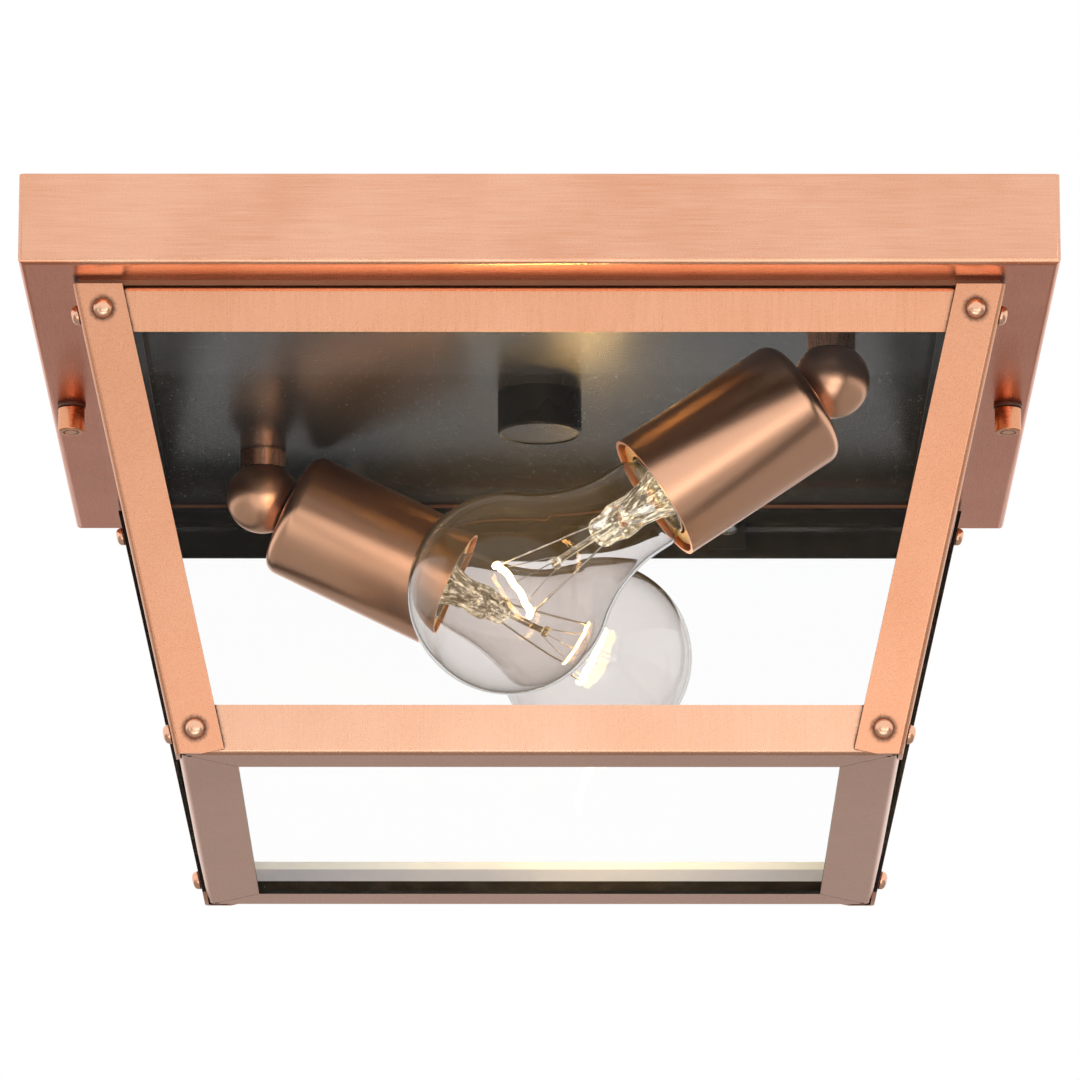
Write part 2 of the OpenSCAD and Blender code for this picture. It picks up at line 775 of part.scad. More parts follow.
module socket_cup(side) {
  r = cup_d / 2;
  color(copper) on_arm(side) translate([0, 0, cup_seat]) rotate_extrude() difference() {
    cup_outline(r, cup_l, cup_edge_r);
    translate([0, cup_wall]) cup_outline(r - cup_wall, cup_l, cup_edge_r - cup_wall);
    translate([0, -overrun])
      square([cup_nipple_d / 2 + nut_gap, cup_wall + 2 * overrun]);
  }
}

module lampholder(side) {
  foot = cup_seat + cup_wall;
  floor_z = foot + holder_boss_l;
  mouth = cup_mouth - holder_mouth_gap;
  color("#e8e4da") on_arm(side) rotate_extrude() difference() {
    union() {
      translate([0, foot]) square([holder_boss_r, holder_boss_l + overrun]);
      translate([0, floor_z]) square([holder_r, mouth - floor_z]);
    }
    translate([0, foot - overrun])
      square([cup_nipple_d / 2 + nut_gap, holder_boss_l + overrun]);
    translate([0, floor_z + holder_floor])
      square([shell_r + shell_t + nut_gap, cup_l]);
    translate([0, foot]) square([cup_bore_r, holder_boss_l + holder_floor + overrun]);
  }
}

module screw_shell(side) {
  foot = cup_seat + cup_wall + holder_boss_l + holder_floor;
  mouth = cup_mouth - holder_mouth_gap;
  color(brass) on_arm(side) rotate_extrude() {
    translate([shell_r, foot]) square([shell_t, mouth - foot + shell_t]);
    translate([shell_hole_r, foot]) square([shell_r + shell_t - shell_hole_r, shell_t]);
    translate([shell_r, mouth]) square([shell_lip_r - shell_r, shell_t]);
  }
}

// Sprung brass leaf that rises from the holder's floor to the bulb's tip
module centre_contact(side) {
  foot = cup_seat + cup_wall + holder_boss_l + holder_floor;
  rise = bulb_tip - contact_gap - foot;
  color(brass) on_arm(side) rotate([90, 0, 0]) translate([0, 0, -contact_w / 2])
    linear_extrude(contact_w)
      polygon([[-contact_foot, foot], [contact_foot / 2, foot], [contact_foot / 2, foot + contact_t],
        [-contact_foot + 2 * contact_t, foot + contact_t], [0, foot + rise - contact_t],
        [contact_foot / 2, foot + rise - 2 * contact_t], [contact_foot / 2, foot + rise - contact_t],
        [0, foot + rise], [-contact_foot, foot + 2 * contact_t]]);
}

// Places its children with +Z along the bulb and z = 0 at its contact tip
module on_bulb(side) {
  on_arm(side) translate([0, 0, bulb_tip]) children();
}

// Points up one side of the bulb's glass, taken in by inset: tuck, neck, hollow curve, globe
function bulb_side(inset) =
  let(cap_top = tip_h + insulator_h + cap_metal_l,
    spread = neck_r + shoulder_r,
    back = sqrt((bulb_d / 2 - neck_r) * (bulb_d / 2 + neck_r + 2 * shoulder_r)),
    lean = atan(back / spread),
    bend_r = shoulder_r + inset,
    globe_r = bulb_d / 2 - inset)
  concat(
    [[neck_tuck_r - inset, cap_top - neck_tuck], [neck_tuck_r - inset, cap_top],
      [neck_r - inset, cap_top + neck_cone]],
    [for (i = [0:bend_steps - 1]) let(a = 180 - lean * i / bend_steps)
      [spread + bend_r * cos(a), bulb_back - back + bend_r * sin(a)]],
    [for (i = [0:globe_steps]) let(a = -lean + (90 + lean) * i / globe_steps)
      [globe_r * cos(a), bulb_back + globe_r * sin(a)]]);

module bulb_glass(side) {
  outside = bulb_side(0);
  inside = bulb_side(bulb_wall);
  last = len(inside) - 1;
  color(clear) on_bulb(side) rotate_extrude()
    polygon(concat(outside, [for (i = [0:last]) inside[last - i]]));
}

// Metal screw cap with rolled rings and the contact tip
module bulb_base(side) {
  foot = tip_h + insulator_h;
  root_r = bulb_cap_r - thread_ring_r / 2;
  inner_r = neck_tuck_r + nut_gap;
  first = foot + cap_metal_l - thread_pitch * (thread_rings - 1) - 2 * thread_ring_r;
  color(zinc) on_bulb(side) {
    rotate_extrude() difference() {
      union() {
        translate([0, foot]) square([root_r, cap_metal_l]);
        for (i = [0:thread_rings - 1])
          translate([bulb_cap_r - thread_ring_r, first - thread_ring_r + i * thread_pitch])
            circle(thread_ring_r);
      }
      translate([0, foot + cap_metal_wall]) square([inner_r, cap_metal_l]);
      translate([0, foot - overrun]) square([insulator_top_r - cap_metal_wall, 2 * overrun]);
    }
    cylinder(h = tip_h, r1 = tip_d / 2 - tip_h / 2, r2 = tip_d / 2);
  }
}

module bulb_insulator(side) {
  color(black) on_bulb(side) translate([0, 0, tip_h])
    cylinder(h = insulator_h, r1 = tip_d / 2, r2 = insulator_top_r);
}

// Flared glass foot and pressed stalk that carry the lead wires
module bulb_stem(side) {
  foot = tip_h + insulator_h + cap_metal_l - neck_tuck;
  press = foot + stem_flare_h + stem_l;
  color(clear) on_bulb(side) rotate_extrude() difference() {
    polygon([[0, foot], [stem_flare_r, foot], [stem_r + bulb_wall, foot + stem_flare_h],
      [stem_r, foot + 2 * stem_flare_h], [stem_r, press - stem_press_l],
      [stem_r / 2, press], [0, press]]);
    polygon([[0, foot - overrun], [stem_flare_r - bulb_wall, foot - overrun],
      [stem_flare_r - bulb_wall, foot], [stem_r - bulb_wall, foot + stem_flare_h],
      [stem_r - bulb_wall, press - 2 * stem_press_l], [0, press - 2 * stem_press_l]]);
  }
}

// Button on the stalk, lead wires, supports and the filament strung between them
module filament(side) {
  press = tip_h + insulator_h + cap_metal_l - neck_tuck + stem_flare_h + stem_l;
  root = press + button_h / 2;
  top = press + lead_top;
  color(zinc) on_bulb(side) {
    translate([0, 0, press]) cylinder(h = button_h, r = button_r);
    for (x = [-1, 1]) rod([0, 0, root], [x * lead_spread, 0, top], lead_r);
    for (i = [0:support_count - 1]) {
      a = 180 * (i + 1) / (support_count + 1);
      rod([0, 0, root], [lead_spread * cos(a), lead_spread * sin(a), top], lead_r);
    }
    for (i = [0:support_count]) {
      a = 180 * i / (support_count + 1);
      b = 180 * (i + 1) / (support_count + 1);
      rod([lead_spread * cos(a), lead_spread * sin(a), top],
        [lead_spread * cos(b), lead_spread * sin(b), top], filament_r);
    }
  }
}

module knob_washer(side) {
  color(black) translate([side * stud_x, 0, 0])
    tube(ledge_z - washer_t, ledge_z, knob_d / 2 + washer_lip, stud_d / 2 + thread_gap);
}

// Turned knob: blind thread, chamfered edges and a fine turning groove on its foot
module knob(side) {
  r = knob_d / 2;
  bore_l = stud_into_knob + stud_tip_gap;
  groove_r = r / 2;
  color(copper) translate([side * stud_x, 0, ledge_z - washer_t]) rotate_extrude() difference() {
    polygon([[0, 0], [r - knob_chamfer, 0], [r, -knob_chamfer], [r, -(knob_h - knob_chamfer)],
      [r - knob_chamfer, -knob_h], [0, -knob_h]]);
    translate([0, -bore_l]) square([stud_d / 2 + thread_gap, bore_l + overrun]);
    translate([groove_r, -knob_h - overrun]) square([knob_turning_w, overrun + knob_turning_h]);
  }
}

crossbar();
crossbar_studs();
stud_nuts();
ground_screw();
centre_nipple();
centre_nuts();
canopy();
socket_plate();
centre_cap();
cage_gasket();
cage_screws();
cage_nuts();
top_rail(0);  // top_rail_front
top_rail(1);  // top_rail_right
top_rail(2);  // top_rail_back
top_rail(3);  // top_rail_left
bottom_rail(0);  // bottom_rail_front
bottom_rail(1);  // bottom_rail_right
bottom_rail(2);  // bottom_rail_back
bottom_rail(3);  // bottom_rail_left
corner_post(0);  // corner_post_front_right
corner_post(1);  // corner_post_back_right
corner_post(2);  // corner_post_back_left
corner_post(3);  // corner_post_front_left
glass_pane(0);  // glass_front
glass_pane(1);  // glass_right
glass_pane(2);  // glass_back
glass_pane(3);  // glass_left
glass_clips();
rivets();
arm_collars();
arm_nipples();
arm_nuts();
swivel_nuts();
swivel_ball(-1);  // swivel_ball_left
swivel_ball(1);  // swivel_ball_right
cup_nipple(-1);  // cup_nipple_left
cup_nipple(1);  // cup_nipple_right
socket_cup(-1);  // socket_cup_left
socket_cup(1);  // socket_cup_right
lampholder(-1);  // lampholder_left
lampholder(1);  // lampholder_right
screw_shell(-1);  // screw_shell_left
screw_shell(1);  // screw_shell_right
centre_contact(-1);  // centre_contact_left
centre_contact(1);  // centre_contact_right
bulb_glass(-1);  // bulb_glass_left
bulb_glass(1);  // bulb_glass_right
bulb_base(-1);  // bulb_base_left
bulb_base(1);  // bulb_base_right
bulb_insulator(-1);  // bulb_insulator_left
bulb_insulator(1);  // bulb_insulator_right
bulb_stem(-1);  // bulb_stem_left
bulb_stem(1);  // bulb_stem_right
filament(-1);  // filament_left
filament(1);  // filament_right
knob_washer(-1);  // knob_washer_left
knob_washer(1);  // knob_washer_right
knob(-1);  // knob_left
knob(1);  // knob_right
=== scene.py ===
"""Looks of a square flush mount lantern in brushed copper: canopy, riveted cage, panes, lamps."""

from __future__ import annotations

import logging
import math
from collections.abc import Iterable, Sequence
from dataclasses import dataclass, replace
from enum import Enum
from functools import cached_property, reduce

import bmesh
import bpy
from mathutils import Matrix, Vector

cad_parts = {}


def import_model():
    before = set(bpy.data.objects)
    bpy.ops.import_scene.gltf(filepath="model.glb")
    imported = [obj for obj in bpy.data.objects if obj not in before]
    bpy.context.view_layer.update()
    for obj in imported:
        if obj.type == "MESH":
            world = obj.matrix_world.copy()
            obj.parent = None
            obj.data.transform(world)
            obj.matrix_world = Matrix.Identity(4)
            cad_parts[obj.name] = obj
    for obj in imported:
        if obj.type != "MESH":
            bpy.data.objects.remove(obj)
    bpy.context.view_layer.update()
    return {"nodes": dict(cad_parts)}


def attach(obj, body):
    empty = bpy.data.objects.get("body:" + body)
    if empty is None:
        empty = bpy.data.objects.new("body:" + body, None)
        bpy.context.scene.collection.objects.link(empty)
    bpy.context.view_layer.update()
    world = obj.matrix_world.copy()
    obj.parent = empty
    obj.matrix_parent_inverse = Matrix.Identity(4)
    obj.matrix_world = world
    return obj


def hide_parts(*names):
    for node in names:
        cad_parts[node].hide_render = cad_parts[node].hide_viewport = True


LOG = logging.getLogger("lantern")
Tree, Material, Mesh, Thing = bpy.types.NodeTree, bpy.types.Material, bpy.types.Mesh, bpy.types.Object
Colour = tuple[float, float, float]
Point = Sequence[float]
Profile = Sequence[tuple[float, float]]
Shape = tuple[list, list]
SIDES = {"left": -1.0, "right": 1.0}
FACES = ("front", "right", "back", "left")
UP = Vector((0.0, 0.0, 1.0))
DOWN = -UP
FRONT = Vector((0.0, -1.0, 0.0))
RIGHT = Vector((1.0, 0.0, 0.0))
TURN = 2 * math.pi
OVER = (math.pi, 0.0, 0.0)
SAME_POINT = 1e-7
SEAM = 1e-6
WELD = 2e-6


class Look(Enum):
    """Plain metals of the small hardware: colour and roughness."""

    ZINC = ((0.6, 0.61, 0.63), 0.34)
    NICKEL = ((0.74, 0.73, 0.7), 0.2)
    BRASS = ((0.85, 0.55, 0.17), 0.34)
    GREEN = ((0.05, 0.3, 0.1), 0.4)


class Value:
    """One output of a node, on which sums are written with the usual signs."""

    def __init__(self, nodes: Nodes, node: bpy.types.Node, output: str | int = 0) -> None:
        """Keep the tree's helper, the node and which of its outputs is meant."""
        self.nodes, self.node, self.output = nodes, node, output

    def __getitem__(self, output: str | int) -> Value:
        """Return another output of the same node."""
        return Value(self.nodes, self.node, output)

    def __add__(self, other: object) -> Value:
        """Add a value or a number."""
        return self.nodes.maths("ADD", self, other)

    def __sub__(self, other: object) -> Value:
        """Take a value or a number away."""
        return self.nodes.maths("SUBTRACT", self, other)

    def __rsub__(self, other: object) -> Value:
        """Take this value away from a number."""
        return self.nodes.maths("SUBTRACT", other, self)

    def __mul__(self, other: object) -> Value:
        """Multiply by a value or a number."""
        return self.nodes.maths("MULTIPLY", self, other)

    def __truediv__(self, other: object) -> Value:
        """Divide by a value or a number."""
        return self.nodes.maths("DIVIDE", self, other)


class Nodes:
    """Short way to add and join nodes in one node tree."""

    def __init__(self, tree: Tree) -> None:
        """Keep the tree."""
        self.tree = tree

    def add(self, kind: str, inputs: dict | None = None, **settings: object) -> Value:
        """Add a node.

        Args:
            kind: The node's class name.
            inputs: Input name or number to a value to join, or to what is set on the input.
            settings: Properties to set on the node.

        Returns:
            The node's first output.
        """
        node = self.tree.nodes.new(kind)
        for name, setting in settings.items():
            setattr(node, name, setting)
        for name, value in (inputs or {}).items():
            self.feed(node.inputs[name], value)
        return Value(self, node)

    def feed(self, socket: bpy.types.NodeSocket, value: object) -> None:
        """Feed an input.

        Args:
            socket: The input.
            value: A value to join, or a number, vector, colour or setting.
        """
        if isinstance(value, Value):
            self.tree.links.new(value.node.outputs[value.output], socket)
        else:
            socket.default_value = (*value, 1.0) if socket.type == "RGBA" else value

    def close(self, results: dict[str, Value]) -> Tree:
        """Join a group's results to its output, and return its tree."""
        self.add("NodeGroupOutput", results)
        return self.tree

    def maths(self, operation: str, *parts: object, clamp: bool = False) -> Value:
        """Add a Math node."""
        return self.add("ShaderNodeMath", dict(enumerate(parts)), operation=operation, use_clamp=clamp)

    def highest(self, parts: Sequence[Value]) -> Value:
        """Return the greatest of some values."""
        return reduce(lambda best, part: self.maths("MAXIMUM", best, part), parts)

    def vector(self, operation: str, *parts: object) -> Value:
        """Add a Vector Math node."""
        return self.add("ShaderNodeVectorMath", dict(enumerate(parts)), operation=operation)

    def scaled(self, vector: object, factor: object) -> Value:
        """Return the vector times a factor."""
        return self.add("ShaderNodeVectorMath", {0: vector, "Scale": factor}, operation="SCALE")

    def drawn(self, coords: Value, way: object, share: float) -> Value:
        """Return coordinates that are drawn out along a direction by a share of their run."""
        return self.vector("ADD", coords, self.scaled(way, self.along(coords, way) * -share))

    def along(self, vector: object, way: object) -> Value:
        """Return how far a vector goes in a direction."""
        return self.vector("DOT_PRODUCT", vector, way)["Value"]

    def gap(self, first: object, second: object) -> Value:
        """Return the distance between two points."""
        return self.vector("DISTANCE", first, second)["Value"]

    def xyz(self, x: object = 0.0, y: object = 0.0, z: object = 0.0) -> Value:
        """Make a vector of three numbers."""
        return self.add("ShaderNodeCombineXYZ", {0: x, 1: y, 2: z})

    def polar(self, radius: Value, angle: Value, z: Value) -> Value:
        """Return the point at a radius, an angle round Z and a height."""
        return self.xyz(radius * self.maths("COSINE", angle), radius * self.maths("SINE", angle), z)

    def noise(self, coords: Value, scale: float, detail: float = 2.0, rough: float = 0.5) -> Value:
        """Add a Noise node and return its factor."""
        return self.add("ShaderNodeTexNoise", {"Vector": coords, "Scale": scale, "Detail": detail,
                                               "Roughness": rough})

    def remap(self, value: Value, low: object, high: object, out_low: object = 0.0, out_high: object = 1.0,
              curve: str = "LINEAR") -> Value:
        """Carry a value from one range to another, and no further than its ends."""
        return self.add("ShaderNodeMapRange", {0: value, 1: low, 2: high, 3: out_low, 4: out_high},
                        interpolation_type=curve)

    def blend(self, factor: object, first: object, second: object, how: str = "MIX") -> Value:
        """Mix two colours."""
        return self.add("ShaderNodeMix", {0: factor, 6: first, 7: second}, data_type="RGBA",
                        blend_type=how)[2]

    def tint(self, value: Value, low: float, high: float, first: Colour, second: Colour) -> Value:
        """Return one colour where the value is low and another where it is high."""
        return self.blend(self.remap(value, low, high), first, second)

    def lerp(self, factor: object, first: object, second: object) -> Value:
        """Mix two numbers."""
        return self.add("ShaderNodeMix", {0: factor, 2: first, 3: second})

    def lifted(self, part: Value, height: object, turn: Point = (0.0, 0.0, 0.0)) -> Value:
        """Turn geometry and lift it by a height."""
        return self.add("GeometryNodeTransform", {"Geometry": part, "Rotation": turn,
                                                  "Translation": self.xyz(z=height)})


def open_tree(name: str, kind: str, inputs: dict[str, object],
              outputs: dict[str, str]) -> tuple[Nodes, Value]:
    """Start a node group.

    Args:
        name: Name of the group.
        kind: ShaderNodeTree or GeometryNodeTree.
        inputs: Name of each input to its default, or to its socket type where it has none.
        outputs: Name of each output to its socket type.

    Returns:
        The node helper and the group's inputs.
    """
    sockets = {float: "NodeSocketFloat", int: "NodeSocketInt", tuple: "NodeSocketVector"}
    tree = bpy.data.node_groups.new(name, kind)
    for label, default in inputs.items():
        typed = isinstance(default, str)
        socket = tree.interface.new_socket(label, in_out="INPUT",
                                           socket_type=default if typed else sockets[type(default)])
        if not typed:
            socket.default_value = default
    for label, socket_type in outputs.items():
        tree.interface.new_socket(label, in_out="OUTPUT", socket_type=socket_type)
    nodes = Nodes(tree)
    return nodes, nodes.add("NodeGroupInput")


class Effects:
    """Shader groups that the finishes share, each built when it is first placed."""

    HAIR, BROAD, SPECKLE = 0.5, 0.12, 0.38
    DRAWN = 0.985
    RAGGED = 0.55

    @staticmethod
    def _open(name: str, outputs: Sequence[str], inputs: dict[str, object]) -> tuple[Nodes, Value]:
        """Start a shader group that reads coordinates and puts out values."""
        return open_tree(name, "ShaderNodeTree", {"Coordinates": "NodeSocketVector", **inputs},
                         dict.fromkeys(outputs, "NodeSocketFloat"))

    @staticmethod
    def _grain(nodes: Nodes, given: Value, drawn: Value) -> Tree:
        """Close a grain group with hair lines, broader lines, fine speckle and slow clouds.

        Args:
            nodes: The group's node helper.
            given: The group's inputs.
            drawn: Coordinates drawn out along the brushing.

        Returns:
            The group's tree.
        """
        fine = nodes.scaled(drawn, given["Fineness"])
        hair = nodes.noise(fine, 1.0, 2.0, 0.6)
        broad = nodes.noise(fine, 0.22)
        speckle = nodes.noise(given["Coordinates"], 2600.0, 2.0, 0.6)
        return nodes.close({"Grain": hair * Effects.HAIR + broad * Effects.BROAD + speckle * Effects.SPECKLE,
                            "Cloud": nodes.noise(given["Coordinates"], 22.0, 3.0, 0.55)})

    @cached_property
    def brushed(self) -> Tree:
        """Build the straight brushing: fine lines along a direction, and slow clouds.

        Returns:
            The group's tree.
        """
        nodes, given = self._open("brushed grain", ("Grain", "Cloud"),
                                  {"Direction": (1.0, 0.0, 0.0), "Fineness": 3600.0})
        return self._grain(nodes, given, nodes.drawn(given["Coordinates"], given["Direction"], self.DRAWN))

    @cached_property
    def turned(self) -> Tree:
        """Build the lathe brushing: fine rings round an axis, and slow clouds.

        Returns:
            The group's tree.
        """
        nodes, given = self._open("turned grain", ("Grain", "Cloud"), {
            "Centre": (0.0, 0.0, 0.0), "Axis": (0.0, 0.0, 1.0), "Fineness": 3400.0})
        local = nodes.vector("SUBTRACT", given["Coordinates"], given["Centre"])
        run = nodes.along(local, given["Axis"])
        across = nodes.vector("SUBTRACT", local, nodes.scaled(given["Axis"], run))
        rings = nodes.xyz(run, nodes.vector("LENGTH", across)["Value"])
        return self._grain(nodes, given, nodes.vector("ADD", rings, nodes.scaled(across, 0.015)))

    @staticmethod
    def _ragged(nodes: Nodes, given: Value, mask: Value) -> Tree:
        """Close a patina group with a mask whose edge is broken up by fine mottling.

        Args:
            nodes: The group's node helper.
            given: The group's inputs.
            mask: The smooth mask.

        Returns:
            The group's tree.
        """
        mottle = nodes.noise(given["Coordinates"], 1300.0, 3.0, 0.65)
        broken = nodes.remap(mask + (mottle - 0.5) * Effects.RAGGED, 0.15, 0.85, curve="SMOOTHSTEP")
        gate = nodes.remap(mask, 0.0, 0.12)
        return nodes.close({"Mask": nodes.maths("MULTIPLY", broken * given["Strength"], gate, clamp=True)})

    @cached_property
    def crevice(self) -> Tree:
        """Build the dark that gathers in corners: antique patina, and painted shade from ambient occlusion.

        Returns:
            The group's tree.
        """
        nodes, given = self._open("crevice patina", ("Mask",), {"Reach": 0.004, "Strength": 1.0})
        # Painted shade: ambient occlusion darkens hollows along with their patina.
        hollow = nodes.add("ShaderNodeAmbientOcclusion", {"Distance": given["Reach"]}, samples=8)["AO"]
        return self._ragged(nodes, given, nodes.remap(1.0 - hollow, 0.1, 0.6))

    @cached_property
    def halo(self) -> Tree:
        """Build the dark ring round a rivet: patina, and painted contact shade at the head's edge.

        Returns:
            The group's tree.
        """
        nodes, given = self._open("rivet halo", ("Mask",), {
            "Centre": (0.0, 0.0, 0.0), "Radius": 0.003, "Fade": 0.0021, "Strength": 0.8})
        away = nodes.gap(given["Coordinates"], given["Centre"]) - given["Radius"]
        return self._ragged(nodes, given, nodes.remap(away, given["Fade"], 0.0, 0.0, 0.8))

    @cached_property
    def band(self) -> Tree:
        """Build the dark band along an edge, strongest at the edge: patina, and painted shade where the rail
        meets the post.

        Returns:
            The group's tree.
        """
        nodes, given = self._open("edge band", ("Mask",), {
            "Origin": (0.0, 0.0, 0.0), "Direction": (1.0, 0.0, 0.0), "Width": 0.002, "Strength": 1.0})
        local = nodes.vector("SUBTRACT", given["Coordinates"], given["Origin"])
        near = nodes.remap(nodes.along(local, given["Direction"]), given["Width"], 0.0)
        return self._ragged(nodes, given, near)

    @cached_property
    def specks(self) -> Tree:
        """Build the dust: small sparse specks.

        Returns:
            The group's tree.
        """
        nodes, given = self._open("dust specks", ("Mask",), {"Density": 420.0, "Size": 0.1})
        cells = nodes.add("ShaderNodeTexVoronoi", {"Vector": given["Coordinates"],
                                                   "Scale": given["Density"]})
        near = nodes.maths("LESS_THAN", cells["Distance"], given["Size"])
        pick = nodes.noise(given["Coordinates"], 90.0, 2.0, 0.6)
        return nodes.close({"Mask": near * nodes.remap(pick, 0.25, 0.7)})


class Paint(Nodes):
    """A new material: its node tree, its Principled shader and its object coordinates."""

    def __init__(self, name: str) -> None:
        """Start the material.

        Args:
            name: Name of the material.
        """
        self.material = bpy.data.materials.new(name)
        self.material.use_nodes = True
        super().__init__(self.material.node_tree)
        self.shader = self.tree.nodes["Principled BSDF"]
        self.coords = self.add("ShaderNodeTexCoord")["Object"]

    def mottle(self, scale: float, detail: float = 2.0, rough: float = 0.5) -> Value:
        """Return noise on the object's coordinates."""
        return self.noise(self.coords, scale, detail, rough)

    def group(self, tree: Tree, **inputs: object) -> Value:
        """Place a shader group on the object's coordinates."""
        return self.add("ShaderNodeGroup", {"Coordinates": self.coords, **inputs}, node_tree=tree)

    def facing(self, way: Vector) -> Value:
        """Return how far the surface faces in a direction."""
        return self.along(self.add("ShaderNodeNewGeometry")["Normal"], way)

    def bump(self, height: Value, strength: float, distance: float = 0.0002) -> Value:
        """Return the normal of a surface that a height roughens."""
        return self.add("ShaderNodeBump", {"Strength": strength, "Distance": distance, "Height": height})

    def shade(self, inputs: dict[str, object]) -> Material:
        """Feed the Principled shader.

        Args:
            inputs: Input name to a value, a number or a colour.

        Returns:
            The finished material.
        """
        for name, value in inputs.items():
            self.feed(self.shader.inputs[name], value)
        return self.material


@dataclass(frozen=True)
class Marks:
    """Where a sheet piece is darkened, and which of its faces are brushed.

    Each band is a point on the edge, the direction away from it, and a width. The faces that look
    along none of the outside directions carry the black lining, with a paler-topped strip of painted
    reflection on it.
    """

    halos: tuple[Vector, ...] = ()
    halo_r: float = 0.0029
    bands: tuple[tuple[Vector, Vector, float], ...] = ()
    outside: tuple[Vector, ...] = ()
    reflection_strip: tuple[Vector, Vector, float] | None = None


@dataclass(frozen=True)
class Copper:
    """Brushed copper with antique patina and painted shade in its hollows, lined with black where its marks
    say so.
    """

    effects: Effects
    bright: Colour = (0.87, 0.445, 0.275)
    mid: Colour = (0.79, 0.37, 0.21)
    # Painted shade: a tint multiplied on faces that look down, beyond a distance along X and over a fade.
    underside_shade: Colour = (1.0, 1.0, 1.0)
    underside_shade_from: float = 0.125
    underside_shade_fade: float = 0.012
    dark: Colour = (0.042, 0.03, 0.028)
    lining: Colour = (0.012, 0.012, 0.013)
    rubbing: float = 2.4
    reflection_strip: Colour = (0.37, 0.45, 0.68)
    reflection_strip_top: Colour = (0.66, 0.79, 1.0)
    reflection_strip_fold: tuple[float, float] = (0.42, 0.36)
    reflection_strip_edge: float = 0.00015
    sheen: float = 0.1
    rough: float = 0.29
    darkening_rough: float = 0.22
    lining_rough: float = 0.36
    # Strength of the patina and painted shade in hollows.
    patina_and_shade: float = 1.0
    reach: float = 0.0035
    bump: float = 0.02
    spread: float = 0.045
    cut_edge: tuple[float, float] = (0.0002, 0.0003)

    def straight(self, name: str, grain: Vector, marks: Marks = Marks()) -> Material:
        """Make the finish of sheet brushed in straight lines.

        Args:
            name: Name of the material.
            grain: The direction of the brushing.
            marks: Patina and lining of the piece.

        Returns:
            The material.
        """
        paint = Paint(name)
        return self._finish(paint, paint.group(self.effects.brushed, Direction=grain.normalized()), marks)

    def mitred(self, name: str, opening: float) -> Material:
        """Make the finish of a square pan that is brushed along each of its sides.

        Args:
            name: Name of the material.
            opening: Half width of the pan's opening, whose cut edge is dark.

        Returns:
            The material.
        """
        paint = Paint(name)
        apart = paint.add("ShaderNodeSeparateXYZ", {0: paint.coords})
        wide, deep = (paint.maths("ABSOLUTE", apart[i]) for i in (0, 1))
        side = paint.maths("GREATER_THAN", wide, deep)
        lines = paint.group(self.effects.brushed, Direction=paint.xyz(1.0 - side, side))
        dark_to, bright_from = (opening + beyond for beyond in self.cut_edge)
        cut = paint.remap(paint.maths("MAXIMUM", wide, deep), dark_to, bright_from, 1.0, 0.0)
        return self._finish(paint, lines, Marks(), (cut,))

    def lathe(self, name: str, centre: Vector, axis: Vector) -> Material:
        """Make the finish of a turned piece.

        Args:
            name: Name of the material.
            centre: A point on the axis.
            axis: Direction of the axis.

        Returns:
            The material.
        """
        paint = Paint(name)
        rings = paint.group(self.effects.turned, Centre=centre, Axis=axis.normalized())
        return self._finish(paint, rings, Marks())

    def _finish(self, paint: Paint, lines: Value, marks: Marks,
                blackened: Sequence[Value] = ()) -> Material:
        """Join grain, clouds, patina with painted shade, and lining to the shader.

        Args:
            paint: The material.
            lines: The grain group placed in it.
            marks: Patina and lining of the piece.
            blackened: Masks of what else is dark.

        Returns:
            The material.
        """
        grain = lines["Grain"]
        colour = paint.tint(grain * 0.8 + lines["Cloud"] * 0.4, 0.48, 0.72, self.mid, self.bright)
        # Painted shade: downward faces far enough along X are multiplied by the darker underside tint.
        if min(self.underside_shade) < 1.0:
            beside = paint.maths("ABSOLUTE", paint.along(paint.coords, RIGHT))
            where = (paint.remap(paint.facing(DOWN), 0.4, 0.9)
                     * paint.remap(beside, self.underside_shade_from, self.underside_shade_from + self.underside_shade_fade))
            colour = paint.blend(where, colour, self.underside_shade, "MULTIPLY")
        # Patina and painted shade in hollows, round rivets and along edges, and the dark cut edge.
        darkening = paint.highest([*self._patina_and_shade_masks(paint, marks), *blackened])
        rough = (paint.remap(grain, 0.35, 0.65, self.rough - self.spread, self.rough + self.spread)
                 + darkening * self.darkening_rough)
        inputs = {"Base Color": paint.blend(darkening, colour, self.dark), "Metallic": 1.0, "Roughness": rough,
                  "Normal": paint.bump(grain, self.bump)}
        if marks.outside:
            brushed = paint.remap(paint.highest([paint.facing(way) for way in marks.outside]), 0.25, 0.4)
            inputs |= {"Base Color": paint.blend(brushed, self._inside(paint, marks), inputs["Base Color"]),
                       "Metallic": brushed, "Roughness": paint.lerp(brushed, self.lining_rough, rough),
                       "Specular IOR Level": self.sheen}
        return paint.shade(inputs)

    def _patina_and_shade_masks(self, paint: Paint, marks: Marks) -> list[Value]:
        """Place every mask that darkens the piece with patina and painted shade.

        Args:
            paint: The material.
            marks: Where rivets and edges are.

        Returns:
            The masks.
        """
        shared = self.effects
        return [paint.group(shared.crevice, Reach=self.reach, Strength=self.patina_and_shade),
                *(paint.group(shared.halo, Centre=centre, Radius=marks.halo_r) for centre in marks.halos),
                *(paint.group(shared.band, Origin=origin, Direction=way, Width=width)
                  for origin, way, width in marks.bands)]

    def _inside(self, paint: Paint, marks: Marks) -> Value:
        """Colour the lining, with rubbed streaks and a grey strip of painted reflection that pales towards
        its top.

        Args:
            paint: The material.
            marks: Where the strip of painted reflection is.

        Returns:
            The colour.
        """
        rubbed = tuple(part * self.rubbing for part in self.lining)
        colour = paint.tint(paint.mottle(160.0, 4.0, 0.7), 0.45, 0.75, self.lining, rubbed)
